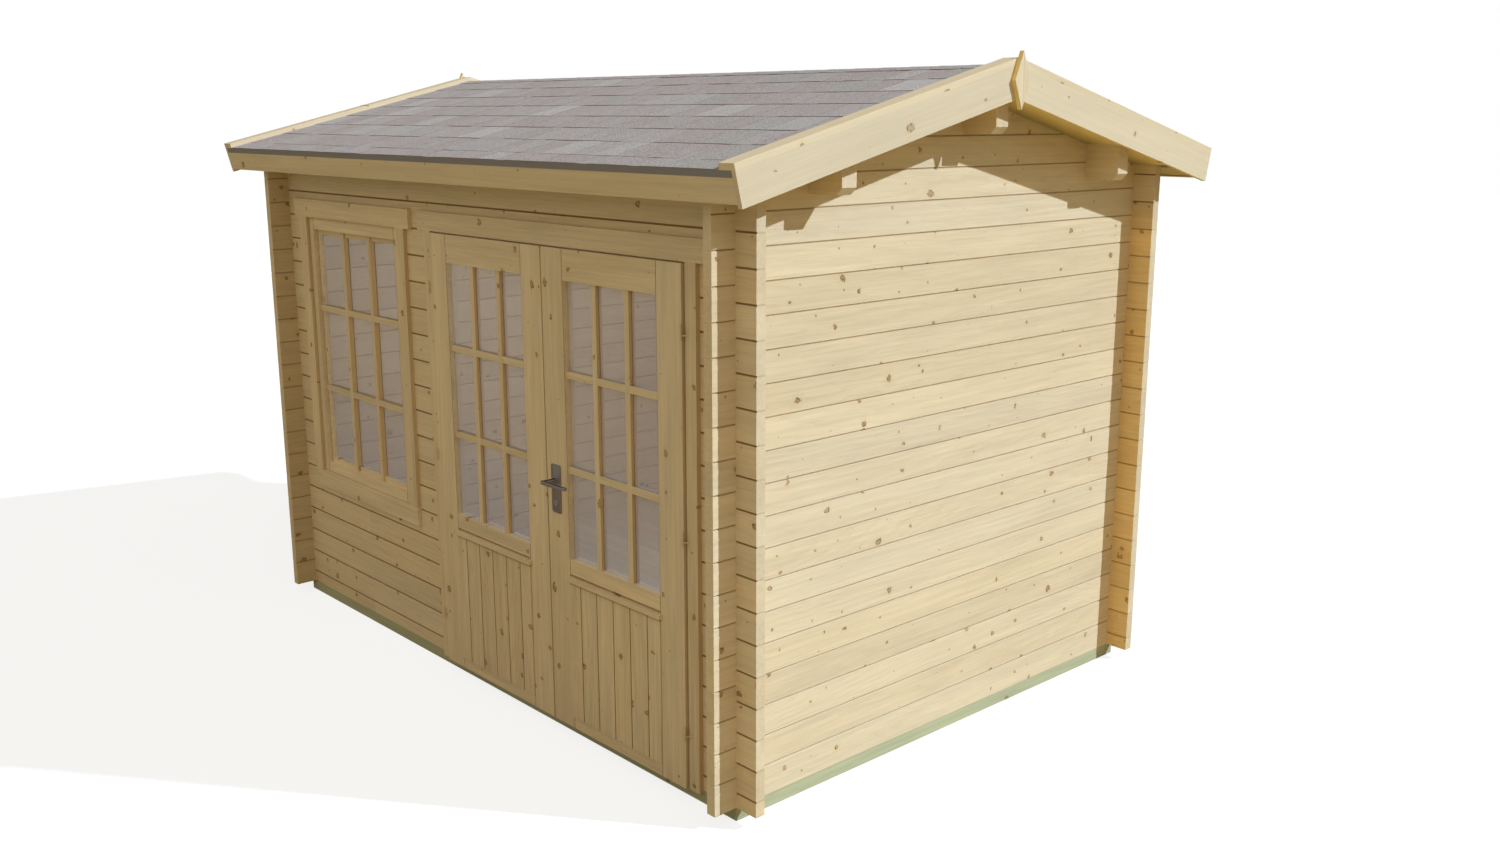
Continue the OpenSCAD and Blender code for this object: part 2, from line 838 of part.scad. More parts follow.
foundation_beams();
floor_joists();
floor_boards();
front_wall_left();
front_wall_under_window();
front_wall_middle();
front_wall_right();
front_wall_top();
rear_wall();
left_gable_wall();
right_gable_wall();
purlins();
front_roof_boards();
rear_roof_boards();
front_shingles();
rear_shingles();
eave_boards();
verge_soffits();
left_front_barge_board();
left_rear_barge_board();
right_front_barge_board();
right_rear_barge_board();
cover_laths();
finials();
window_casing();
window_frame();
window_sash();
window_bars();
window_glass();
door_frame();
door_casing();
casing_hinges();
left_door_frame();
left_door_panel();
left_door_glass();
left_door_bars();
left_door_drip_bar();
left_door_hinges();
right_door_frame();
right_door_panel();
right_door_glass();
right_door_bars();
right_door_drip_bar();
right_door_hinges();
door_handle_plates();
door_handle();
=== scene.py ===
"""Finishes of a log garden house: planed spruce, treated beams, felt shingles, glass and metal."""

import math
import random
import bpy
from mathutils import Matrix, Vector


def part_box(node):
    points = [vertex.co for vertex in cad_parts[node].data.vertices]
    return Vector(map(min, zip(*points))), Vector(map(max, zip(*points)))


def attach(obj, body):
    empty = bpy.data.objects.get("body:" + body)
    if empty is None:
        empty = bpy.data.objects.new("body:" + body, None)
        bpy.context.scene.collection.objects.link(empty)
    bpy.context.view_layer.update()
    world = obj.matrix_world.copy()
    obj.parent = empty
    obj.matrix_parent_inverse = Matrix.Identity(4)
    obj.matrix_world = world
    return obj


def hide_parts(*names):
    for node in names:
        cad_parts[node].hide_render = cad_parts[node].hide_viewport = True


bl_info = {
    "name": "Garden House Finishes",
    "version": (1, 0, 0),
    "blender": (4, 5, 0),
    "location": "3D View > Sidebar > Garden House",
    "description": "Paints a log garden house and adds its shingles, boards and handle",
    "category": "Object",
}

import bmesh
import bpy
from bpy.props import FloatProperty, FloatVectorProperty, PointerProperty
from mathutils import Matrix, Vector

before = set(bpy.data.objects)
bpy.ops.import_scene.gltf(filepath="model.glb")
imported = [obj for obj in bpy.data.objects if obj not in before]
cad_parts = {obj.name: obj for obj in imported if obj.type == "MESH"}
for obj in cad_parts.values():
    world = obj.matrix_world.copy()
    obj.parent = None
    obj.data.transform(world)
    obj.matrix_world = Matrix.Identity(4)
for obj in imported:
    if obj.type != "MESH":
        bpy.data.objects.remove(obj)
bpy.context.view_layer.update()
SQUARELY = 0.7  # least share of its facing that a face turns to an axis to count as looking along it
SHARP_ANGLE = math.radians(40)  # edges that turn more than this are eased
COURSE_LENGTH = 1.12  # length of a course of shingles, in exposures
CAP_LENGTH = 1.15  # length of a ridge cap shingle, in exposures
BLACK = (0.0, 0.0, 0.0)
WHITE = (1.0, 1.0, 1.0)


def middle_x(node):
    """Returns the middle of a node along the front wall."""
    low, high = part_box(node)
    return (low.x + high.x) / 2


def top_plane(node):
    """Returns the pitch of a node's largest upward face, and the height where it meets the ridge line."""
    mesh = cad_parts[node].data
    face = max((face for face in mesh.polygons if face.normal.z > 0.5), key=lambda face: face.area)
    corner = mesh.vertices[face.vertices[0]].co
    pitch = math.atan2(abs(face.normal.y), face.normal.z)
    return pitch, corner.z + abs(corner.y) * math.tan(pitch)


# ---------------------------------------------------------------- sizes and colours


def size(name, description, default, low=0.0):
    """Makes a length property in metres."""
    return FloatProperty(name=name, description=description, default=default, min=low, unit="LENGTH")


def colour(name, description, default):
    """Makes a colour property, in linear values."""
    return FloatVectorProperty(name=name, description=description, default=default, size=3, min=0.0,
                               max=1.0, subtype="COLOR")


class HouseSizes(bpy.types.PropertyGroup):
    """Sizes of the pieces and patterns that are not in the construction."""

    log_height: size("Log height", "Height that one log adds to a wall", 0.114)
    front_log_gap: size("Front log gap", "Half the height of the dark gap between the front logs", 0.005)
    rear_log_gap: size("Rear log gap", "Half the height of the dark gap between the rear logs", 0.0045)
    gable_log_gap: size("Gable log gap", "Half the height of the dark gap between the gables' logs", 0.002)
    board_gap: size("Board gap", "Half the width of the dark gap between floor or roof boards", 0.0014)
    panel_gap: size("Panel gap", "Half the width of the dark gap between the door panel's boards", 0.0036)
    rail_gap: size("Rail gap", "Half the width of the dark line where a rail meets a stile", 0.0028)
    roof_board_width: size("Roof board width", "Cover width of one roof board", 0.096)
    floor_board_width: size("Floor board width", "Cover width of one floor board", 0.096)
    board_chamfer: size("Board chamfer", "Chamfer along the edges of a tongued board", 0.0035)
    exposure: size("Shingle exposure", "Visible height of one course of shingles", 0.178)
    first_exposure: size("First exposure", "Visible height of the lowest course", 0.096)
    course_rise: size("Course thickness", "Height of a course's lower edge", 0.0015)
    tab_rise: size("Tab thickness", "Height of a laminated tab over its course", 0.0014)
    cap_reach: size("Ridge cap reach", "Width of the ridge cap on each slope", 0.06)
    cap_exposure: size("Ridge cap exposure", "Visible length of one ridge cap shingle", 0.145)
    lath_width: size("Lath width", "Width of the cover laths, between which the shingles lie", 0.072)
    sash_stile_width: size("Sash stile width", "Width of the stiles of the window sash", 0.04)
    bar_width: size("Bar width", "Width of a glazing bar", 0.028)
    panel_board_width: size("Panel board width", "Width of one board of the door panel", 0.102)
    lever_thickness: size("Lever thickness", "Thickness of the handle's levers", 0.011)
    lever_neck: size("Lever neck", "Distance from a lever's end to the middle of its neck", 0.009)
    plate_thickness: size("Plate thickness", "Thickness of the handle's plates", 0.004)
    lock_drop: size("Lock drop", "Distance from the lever down to the lock cylinder", 0.090)


class HouseColours(bpy.types.PropertyGroup):
    """Colours of the finishes."""

    spruce: colour("Spruce", "Planed spruce between the growth rings", (0.80, 0.655, 0.425))
    late_wood: colour("Late wood", "Dark part of a growth ring", (0.56, 0.36, 0.165))
    knot: colour("Knot", "Middle of a knot", (0.36, 0.215, 0.09))
    knot_rim: colour("Knot rim", "Bark ring round a knot", (0.13, 0.07, 0.03))
    # painted bounce light: golden light that a sunlit gable throws onto the rear logs' ends in their corner
    nook_bounce_light: colour("Bounce-lit wood", "Spruce in the corner that the rear logs make", (0.92, 0.64, 0.27))
    # painted shade on the gables' log ends, in the corners that the crossed ends make
    shaded: colour("Shaded wood", "Spruce in the corners that the gables' logs make", (0.66, 0.53, 0.32))
    # painted bounce light: golden light on faces that look down under the verges and on the finials' edges
    bounce_gold: colour("Bounce gold", "Spruce under the verges and on the finials' edges", (1.0, 0.76, 0.27))
    # painted shade on the eave boards' inner faces
    eave_back_shade: colour("Eave back", "Spruce on the inner faces of the eave boards", (0.62, 0.44, 0.18))
    # painted shade on the sides of upright glazing bars
    bar_side_shade: colour("Bar side", "Spruce on the sides of upright glazing bars", (0.68, 0.42, 0.135))
    gap: colour("Gap", "Deepest part of the joint between two boards", (0.24, 0.12, 0.025))
    treated: colour("Treated timber", "Pressure-treated beam", (0.50, 0.52, 0.33))
    treated_ring: colour("Treated ring", "Dark growth ring of treated timber", (0.34, 0.37, 0.19))
    felt_grey: colour("Felt grey", "Grey mineral granules", (0.475, 0.415, 0.385))
    felt_brown: colour("Felt brown", "Pinkish brown mineral granules", (0.42, 0.325, 0.29))
    felt_green: colour("Felt green", "Greenish grey mineral granules", (0.385, 0.365, 0.315))
    felt_pale: colour("Felt pale", "Pale mineral granules", (0.61, 0.555, 0.515))
    felt_edge: colour("Felt edge", "Bitumen at the cut edges of the felt", (0.30, 0.28, 0.29))
    glass: colour("Glass", "Veil of the panes", (0.78, 0.75, 0.88))
    glass_low: colour("Low glass", "Veil of the lowest panes", (0.66, 0.72, 1.0))
    zinc: colour("Zinc", "Yellow zinc plating of the hinges", (0.76, 0.62, 0.39))
    graphite: colour("Graphite", "Handle and its plates", (0.34, 0.315, 0.35))
    nickel: colour("Nickel", "Rim of the lock cylinders", (0.66, 0.63, 0.60))
    floor: colour("Studio floor", "Light that the floor sends back", (0.37, 0.285, 0.135))
    sky: colour("Studio light", "Soft light from all sides", (0.358, 0.329, 0.275))


def sizes():
    """Returns the sizes of the scene."""
    return bpy.context.scene.garden_house_sizes


def colours():
    """Returns the colours of the scene."""
    return bpy.context.scene.garden_house_colours


# ---------------------------------------------------------------- shader building


class Number:
    """A number that changes over a surface. It wraps an output socket; arithmetic adds Math nodes."""

    def __init__(self, tree, socket):
        self.tree = tree
        self.socket = socket

    def math(self, operation, *others):
        return self.tree.node("ShaderNodeMath", {"operation": operation}, [self, *others])

    def also(self, name):
        """Returns another output of the same node."""
        return Number(self.tree, self.socket.node.outputs[name])

    def __add__(self, other):
        return self.math("ADD", other)

    __radd__ = __add__

    def __sub__(self, other):
        return self.math("SUBTRACT", other)

    def __rsub__(self, other):
        return self.tree.node("ShaderNodeMath", {"operation": "SUBTRACT"}, [other, self])

    def __mul__(self, other):
        return self.math("MULTIPLY", other)

    __rmul__ = __mul__

    def __truediv__(self, other):
        return self.math("DIVIDE", other)

    def __pow__(self, other):
        return self.math("POWER", other)

    def __mod__(self, other):
        return self.math("FLOORED_MODULO", other)

    def __gt__(self, other):
        return self.math("GREATER_THAN", other)

    def __lt__(self, other):
        return self.math("LESS_THAN", other)

    def __abs__(self):
        return self.math("ABSOLUTE")

    def floor(self):
        return self.math("FLOOR")

    def root(self):
        return self.math("SQRT")

    def at_least(self, other):
        return self.math("MAXIMUM", other)

    def at_most(self, other):
        return self.math("MINIMUM", other)

    def rise(self, low, high):
        """Goes smoothly from 0 at low to 1 at high."""
        return self.tree.node("ShaderNodeMapRange", {"interpolation_type": "SMOOTHSTEP"},
                              {"Value": self, 1: low, 2: high})


class Tree:
    """A node tree, with one method that makes every node."""

    def __init__(self, node_tree):
        self.nodes = node_tree.nodes
        self.links = node_tree.links

    def node(self, kind, settings=None, inputs=(), out=0):
        """Adds a node, sets it up, gives its sockets values or links, and returns one of its outputs."""
        made = self.nodes.new(kind)
        for key, value in (settings or {}).items():
            if key == "stops":
                self.fill_ramp(made.color_ramp, value)
            else:
                setattr(made, key, value)
        pairs = inputs.items() if isinstance(inputs, dict) else enumerate(inputs)
        for key, value in pairs:
            self.feed(made.inputs[key], value)
        return Number(self, made.outputs[out]) if made.outputs else None

    def feed(self, socket, value):
        """Links a number to a socket, or sets the socket's own value."""
        if isinstance(value, Number):
            self.links.new(value.socket, socket)
        elif socket.type == "RGBA" and len(value) == 3:
            socket.default_value = (*value, 1.0)
        else:
            socket.default_value = value

    def fill_ramp(self, ramp, stops):
        """Sets the stops of a colour ramp, given as pairs of a place and a colour."""
        while len(ramp.elements) < len(stops):
            ramp.elements.new(1.0)
        for element, (place, value) in zip(ramp.elements, stops):
            element.position = place
            element.color = (*value, 1.0)

    def vector(self, place):
        return self.node("ShaderNodeCombineXYZ", None, place)

    def split(self, vector):
        """Returns the three numbers of a vector or colour."""
        first = self.node("ShaderNodeSeparateXYZ", None, [vector])
        return first, first.also("Y"), first.also("Z")

    def chances(self, seed):
        """Returns three random numbers from 0 to 1 that belong to a seed."""
        made = self.node("ShaderNodeTexWhiteNoise", {"noise_dimensions": "1D"}, {"W": seed}, "Color")
        return self.split(made)

    def noise(self, place, scale, detail=0.0, out="Fac"):
        return self.node("ShaderNodeTexNoise", None,
                         {"Vector": self.vector(place), "Scale": scale, "Detail": detail}, out)

    def mix(self, factor, first, second, blend="MIX"):
        """Mixes two colours."""
        return self.node("ShaderNodeMix", {"data_type": "RGBA", "blend_type": blend},
                         {0: factor, 6: first, 7: second}, 2)

    def grey(self, value):
        """Turns a number into a grey colour."""
        return self.vector([value] * 3)

    def choose(self, mask, chosen, other):
        """Returns the place chosen where mask is 1 and other where it is 0."""
        mixed = self.node("ShaderNodeMix", {"data_type": "VECTOR"},
                          {0: mask, 4: self.vector(other), 5: self.vector(chosen)}, 1)
        return self.split(mixed)


class Paint(Tree):
    """A new material: its node tree, its Principled shader, and the place and facing of each point."""

    def __init__(self, name, **constants):
        self.material = bpy.data.materials.new(name)
        self.material.use_nodes = True
        super().__init__(self.material.node_tree)
        self.shader = self.nodes["Principled BSDF"]
        coordinates = self.node("ShaderNodeTexCoord", out="Object")
        self.place = self.split(coordinates)
        self.facing = self.split(coordinates.also("Normal"))
        for key, value in constants.items():
            self.set(key.replace("_", " "), value)

    def set(self, socket, value):
        """Feeds a socket of the shader."""
        self.feed(self.shader.inputs[socket], value)

    def bump(self, height, distance):
        """Raises the surface by height times distance."""
        self.set("Normal", self.node("ShaderNodeBump", None, {"Distance": distance, "Height": height}))

    def looks_along(self, axis):
        """Returns the mask of the faces that look along an axis, either way."""
        return abs(self.facing["xyz".index(axis)]) > SQUARELY


# ---------------------------------------------------------------- wood


def lying(paint, axis):
    """Returns the distances along, across and through a board that runs along an axis, and its end mask."""
    x, y, z = paint.place
    order = {"x": (x, z, y), "y": (y, z, x), "z": (z, x, y)}[axis]
    return order, paint.looks_along(axis)


def boards_in_row(distance, width):
    """Returns the number of the board at a distance along a row, and how far it is from the board's
    middle and from its nearer joint."""
    count = distance / width
    part = count % 1.0 - 0.5
    return count.floor(), part * width, (0.5 - abs(part)) * width


def growth_rings(paint, place, seed, push):
    """Returns the late wood mask of growth rings round a pith line that wanders behind the board."""
    along, across, through = place
    side, depth, width = paint.chances(seed + 0.5)
    drift_side, drift_depth, patch = paint.split(paint.noise((along, seed * 3.7, 0.0), 0.45, 0.0, "Color"))
    ripple = paint.noise((along * 5.0, across * 30.0, seed), 1.0, 2.0)
    pith_side = across + (side - 0.5) * 0.24 + (drift_side - 0.5) * 0.05
    pith_depth = through + depth * 0.07 + 0.03 + (drift_depth - 0.5) * 0.03
    radius = (pith_side * pith_side + pith_depth * pith_depth).root() + push + (ripple - 0.5) * 0.003
    turn = (radius / (width * 0.0012 + 0.0013)) % 1.0
    late = turn.rise(0.35, 0.90) * (1.0 - turn.rise(0.93, 1.0))
    return late * (patch * 0.8 + 0.3)


def knots(paint, place, seed, often):
    """Returns the masks of the knots' middles, rims and halos, and how far they push the rings."""
    along, across, _ = place
    cell_long = 0.17
    cell_wide = 0.085
    column = along / cell_long
    row = across / cell_wide + seed * 5.31
    cells = {"Vector": paint.vector((column, row, 0.0)), "Scale": 1.0, "Randomness": 0.8}
    centre = paint.node("ShaderNodeTexVoronoi", {"voronoi_dimensions": "2D"}, cells, "Position")
    centre_column, centre_row, _ = paint.split(centre)
    chance, shade, shape = paint.split(
        paint.node("ShaderNodeTexWhiteNoise", {"noise_dimensions": "2D"}, {"Vector": centre}, "Color"))
    radius = ((chance - (1.0 - often)) / often).at_least(0.0) ** 2.2 * 0.0105 + 0.0016
    bends = paint.noise((along * 70.0, across * 70.0, seed), 1.0, 2.0, "Color")
    bend_long, bend_wide, smear = paint.split(bends)
    long_way = (column - centre_column) * cell_long + (bend_long - 0.5) * radius * 2.4
    wide_way = (row - centre_row) * cell_wide + (bend_wide - 0.5) * radius * 2.4
    long_way = long_way * (shape * 0.7 + 0.65)
    reach = (long_way * long_way + wide_way * wide_way).root() / radius
    there = chance > (1.0 - often)
    middle = (1.0 - reach.rise(0.70, 1.0)) * there
    rim = reach.rise(0.45, 0.9) * (1.0 - reach.rise(0.95, 1.25)) * there
    rim = rim * (smear.rise(0.35, 0.6) + shade * 0.5)
    halo = (1.0 - reach.rise(0.8, 3.4)) * there
    push = radius * 1.3 * halo
    return middle, rim.at_most(1.0), halo, push


def wood_surface(paint, place, seed, end, often=0.62, contrast=1.0, treated=False):
    """Paints planed spruce or treated timber, and returns its colour, relief and growth rings, which
    set_wood finishes. often is the share of places that hold a knot."""
    light, late = colours().spruce, colours().late_wood
    if treated:
        light, late = colours().treated, colours().treated_ring
    along, across, through = place
    shift, tone, warmth = paint.chances(seed)
    place = (along + shift * 31.0, across, through)
    along = place[0]
    middle, rim, halo, push = (mask * (1.0 - end) for mask in knots(paint, place, seed, often))
    ring = growth_rings(paint, place, seed, push)
    fibre = paint.noise((along * 9.0, across * 330.0, through * 330.0), 1.0, 2.0)
    cloud = paint.noise((along * 1.9, across * 15.0, seed * 2.3 + through * 15.0), 1.0, 1.0)
    streak = paint.noise((along * 2.2, across * 80.0, seed * 1.7 + through * 80.0), 1.0, 3.0)
    ring_share = ring * (0.16 * contrast) + end * ring * 0.25
    colour_now = paint.mix(ring_share, light, late)
    warm = tuple(channel * part for channel, part in zip(light, (1.0, 0.91, 0.76)))
    colour_now = paint.mix(warmth * 0.4 + halo * 0.45, colour_now, paint.mix(ring_share, warm, late))
    value = (fibre - 0.5) * (0.20 * contrast) + (streak - 0.5) * (0.28 * contrast) + 1.0
    value = value + (cloud - 0.5) * (0.20 * contrast) + (tone - 0.5) * 0.09
    colour_now = paint.mix(1.0, colour_now, paint.grey(value), "MULTIPLY")
    colour_now = paint.mix(middle * (warmth * 0.35 + 0.5), colour_now, colours().knot)
    colour_now = paint.mix(rim * 0.75, colour_now, colours().knot_rim)
    height = fibre * 0.5 - ring * 0.4 - rim * 0.8
    return colour_now, height, ring


def darken_joint(paint, surface, distance, width, where=1.0, share=0.85):
    """Darkens a wood surface within width of a joint, as far as where allows."""
    near = 1.0 - distance.rise(width * 0.3, width)
    colour_now = paint.mix(near * where * share, surface[0], colours().gap)
    return colour_now, surface[1], surface[2]


def set_wood(paint, surface, distance=0.0004):
    """Gives the shader the colour, gloss and relief of a wood surface."""
    colour_now, height, ring = surface
    paint.set("Base Color", colour_now)
    paint.set("Roughness", ring * 0.12 + 0.52)
    paint.bump(height, distance)


def tinted(paint, surface, mask, tint):
    """Turns a wood surface from spruce towards another colour where mask is 1."""
    ratio = tuple(channel / base for channel, base in zip(tint, colours().spruce))
    return paint.mix(mask, surface[0], ratio, "MULTIPLY"), surface[1], surface[2]


def log_material(name, axis, first_joint, seed, gap, darkness, nook_painted_light, openings=()):
    """Makes planed logs stacked in courses, with a dark gap in every joint; gap is half its height.
    Where crossed ends stick out, their faces that look towards the middle of the house make a nook with
    the other wall and take the colour nook_painted_light: painted light and shade of that corner, which
    fades out under the eaves. A log that an opening cuts is another log beyond the opening's middle;
    openings holds pairs of that middle and the opening's top."""
    paint = Paint(name)
    place, end = lying(paint, axis)
    course, middle_off, to_joint = boards_in_row(paint.place[2] - first_joint, sizes().log_height)
    board = course + seed
    for middle, top in openings:
        board = board + (paint.place[0] > middle) * (paint.place[2] < top) * 37.0
    along, across, through = place
    surface = wood_surface(paint, (along, middle_off, through), board, end, contrast=0.95)
    # painted light and shade on the inward faces of the crossed ends, fading out under the eaves
    inward = paint.facing["yx".index(axis)] * through < -0.5
    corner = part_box("left_gable_wall" if axis == "x" else "front_wall_top")[0]["xy".index(axis)]
    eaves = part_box("eave_boards")[0].z
    fade = 0.30
    reach = along if axis == "x" else abs(along)
    nook = inward * (reach > -corner) * (1.0 - across.rise(eaves - fade, eaves))
    surface = tinted(paint, surface, nook, nook_painted_light)
    where = 1.0 - end * 0.7 - nook * 0.5
    colour_now, relief, ring = darken_joint(paint, surface, to_joint, gap, where, darkness)
    # painted shade on the upward-facing lips of the joints
    lip_shade = paint.facing[2] > 0.3
    set_wood(paint, (paint.mix(lip_shade * 0.35, colour_now, colours().gap), relief, ring))
    return paint.material


def board_material(name, axis, seed, edge=None, tint=None, **wood):
    """Makes boards that all run along one axis. Boards on both sides of the house's middle differ. edge
    takes the material and returns the mask of the faces that take the colour tint."""
    paint = Paint(name)
    place, end = lying(paint, axis)
    x, y, _ = paint.place
    board = (x > 0.0) * 3.0 + (y > 0.0) * 5.0 + seed
    if axis == "x":
        nearest = 0.3
        board = (y / nearest).floor() + seed
    surface = wood_surface(paint, place, board, end, **wood)
    if edge is not None:
        surface = tinted(paint, surface, edge(paint), tint)
    set_wood(paint, surface)
    return paint.material


def rafter_material(name, pitch, seed, wall=None):
    """Makes boards that run up both slopes of the roof, with painted bounce light, golden, where they face
    down. wall is how far from the middle the gable wall stands. Next to it and outside the long walls the
    boards carry painted shade."""
    paint = Paint(name)
    x, y, z = paint.place
    side = abs(y)
    along = z * math.sin(pitch) - side * math.cos(pitch)
    across = z * math.cos(pitch) + side * math.sin(pitch)
    _, normal_y, normal_z = paint.facing
    end = abs(abs(normal_y) * math.cos(pitch) - normal_z * math.sin(pitch)) > 0.9
    board = (y > 0.0) * 5.0 + (x > 0.0) * 11.0 + seed
    surface = wood_surface(paint, (along, across, x), board, end, contrast=0.6)
    # painted bounce light, golden, on faces that look down
    surface = tinted(paint, surface, normal_z < -0.5, colours().bounce_gold)
    # painted shade next to the gable wall and outside the long walls
    if wall is not None:
        wall_shade = (1.0 - abs(x).rise(wall - 0.02, wall + 0.16)) * 0.55
        outside = (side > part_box("rear_wall")[1].y) * 0.28
        surface = tinted(paint, surface, wall_shade.at_least(outside), BLACK)
    set_wood(paint, surface)
    return paint.material


def framed_material(name, upright, seed, joint=None, bars=False):
    """Makes a frame of upright and level boards. upright takes x and z and returns the mask of the
    upright boards and a number that differs from board to board; joint takes them and returns the
    distance to the joints between boards. The upright boards' sides carry painted shade, golden on
    glazing bars, and the tops of level glazing bars carry painted shade too."""
    paint = Paint(name)
    x, y, z = paint.place
    mask, board = upright(x, z)
    place = paint.choose(mask, (z, x, y), (x, z, y))
    sideways, upward = paint.looks_along("x"), paint.looks_along("z")
    end = upward * mask + sideways * (1.0 - mask)
    surface = wood_surface(paint, place, board + seed, end, contrast=1.4)
    if joint is not None:
        surface = darken_joint(paint, surface, joint(x, z), sizes().rail_gap, paint.looks_along("y"))
    # painted shade on the sides of the upright boards: bar_side_shade on glazing bars, late wood on other
    # frames
    side, share = (colours().bar_side_shade, 0.8) if bars else (colours().late_wood, 0.42)
    colour_now = paint.mix(sideways * mask * share, surface[0], side)
    if bars:
        # painted shade along the tops of the level glazing bars
        level_bar_shade = (paint.facing[2] > SQUARELY) * (1.0 - mask) * 0.55
        colour_now = paint.mix(level_bar_shade, colour_now, colours().knot_rim)
    set_wood(paint, (colour_now, surface[1], surface[2]))
    return paint.material


def finish(material, *nodes):
    """Gives construction nodes their material."""
    for node in nodes:
        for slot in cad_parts[node].material_slots:
            slot.material = material


# ---------------------------------------------------------------- modelling helpers


def deselect():
    """Leaves edit mode and deselects everything."""
    if bpy.context.mode != "OBJECT":
        bpy.ops.object.mode_set(mode="OBJECT")
    bpy.ops.object.select_all(action="DESELECT")


def add_block(name, low, high):
    """Adds a box between two corners."""
    deselect()
    low, high = Vector(low), Vector(high)
    bpy.ops.mesh.primitive_cube_add(size=1.0, location=(low + high) / 2, scale=high - low)
    return settle(name)


def add_cylinder(name, centre, radius, depth, axis, sides=32):
    """Adds a cylinder whose axis runs along an axis."""
    deselect()
    turn = {"x": (0.0, math.pi / 2, 0.0), "y": (math.pi / 2, 0.0, 0.0), "z": (0.0, 0.0, 0.0)}[axis]
    bpy.ops.mesh.primitive_cylinder_add(vertices=sides, radius=radius, depth=depth, location=centre,
                                        rotation=turn)
    return settle(name)


def settle(name):
    """Names the active piece and puts its place into its mesh."""
    piece = bpy.context.object
    piece.name = piece.data.name = name
    bpy.ops.object.transform_apply(location=True, rotation=True, scale=True)
    return piece


def pick(*pieces):
    """Selects pieces and nothing else, and makes the first one active."""
    deselect()
    for piece in pieces:
        piece.select_set(True)
    bpy.context.view_layer.objects.active = pieces[0]


def edit(piece, kind, test):
    """Opens a piece in edit mode and selects the corners, edges or faces that pass a test."""
    pick(piece)
    bpy.ops.object.mode_set(mode="EDIT")
    bpy.ops.mesh.select_mode(type=kind)
    bpy.ops.mesh.select_all(action="DESELECT")
    mesh = bmesh.from_edit_mesh(piece.data)
    elements = {"VERT": mesh.verts, "EDGE": mesh.edges, "FACE": mesh.faces}[kind]
    for element in elements:
        if test(element):
            element.select_set(True)
    mesh.select_flush(True)
    bmesh.update_edit_mesh(piece.data)


def runs_along(edge, axis):
    """Says whether an edge lies along an axis."""
    way = (edge.verts[1].co - edge.verts[0].co).normalized()
    return abs(way["xyz".index(axis)]) > 0.99


def middle_of(element):
    """Returns the middle of an edge."""
    return (element.verts[0].co + element.verts[1].co) / 2


def apply_modifier(piece, kind, **settings):
    """Adds a modifier, sets it and applies it."""
    pick(piece)
    modifier = piece.modifiers.new(kind.title(), kind)
    for key, value in settings.items():
        setattr(modifier, key, value)
    bpy.ops.object.modifier_apply(modifier=modifier.name)


def round_off(piece, width, segments=2):
    """Eases the sharp edges of a piece."""
    apply_modifier(piece, "BEVEL", width=width, segments=segments, limit_method="ANGLE",
                   angle_limit=SHARP_ANGLE)


def smooth(piece):
    """Shades a piece smooth except at its sharp edges."""
    pick(piece)
    bpy.ops.object.shade_smooth_by_angle(angle=math.radians(35.0))


def placed_copy(pattern, matrix, tint=None):
    """Copies a piece with a mesh of its own, moves the mesh, and gives it a tint."""
    twin = pattern.copy()
    twin.data = pattern.data.copy()
    twin.data.transform(matrix)
    bpy.context.scene.collection.objects.link(twin)
    if tint is not None:
        tints = twin.data.attributes.new("tint", "FLOAT", "POINT")
        tints.data.foreach_set("value", [tint] * len(twin.data.vertices))
    return twin


def join(name, pieces):
    """Joins pieces into one."""
    pick(*pieces)
    if len(pieces) > 1:
        bpy.ops.object.join()
    joined = bpy.context.object
    joined.name = joined.data.name = name
    return joined


def discard(piece):
    """Removes a pattern that was only copied from."""
    bpy.data.objects.remove(piece)


def hand_over(piece, material, body, slot, *replaced):
    """Gives a finished piece its material and its body, and hides the nodes it stands for. slot is not
    used.
    """
    piece.data.materials.clear()
    piece.data.materials.append(material)
    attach(piece, body)
    if replaced:
        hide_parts(*replaced)


# ---------------------------------------------------------------- walls


class GARDENHOUSE_OT_log_walls(bpy.types.Operator):
    """Paint the log walls"""

    bl_idname = "garden_house.log_walls"
    bl_label = "Log Walls"

    def execute(self, context):
        low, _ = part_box("rear_wall")
        long_start = low.z + sizes().log_height / 2
        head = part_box("front_wall_left")[1].z
        openings = [(middle_x(casing), head) for casing in ("window_casing", "door_casing")]
        front = log_material("front_logs", "x", long_start, 100.0, sizes().front_log_gap, 0.8,
                             colours().spruce, openings)
        finish(front, "front_wall_left", "front_wall_under_window", "front_wall_middle",
               "front_wall_right", "front_wall_top")
        # the rear logs' ends carry painted bounce light in their corner
        rear = log_material("rear_logs", "x", long_start, 300.0, sizes().rear_log_gap, 0.6,
                            colours().nook_bounce_light)
        finish(rear, "rear_wall")
        # the gables' logs' ends carry painted shade in their corners
        for side, seed in (("right", 500.0), ("left", 700.0)):
            gable = log_material(f"{side}_logs", "y", low.z, seed, sizes().gable_log_gap, 0.6,
                                 colours().shaded)
            finish(gable, f"{side}_gable_wall")
        return {"FINISHED"}


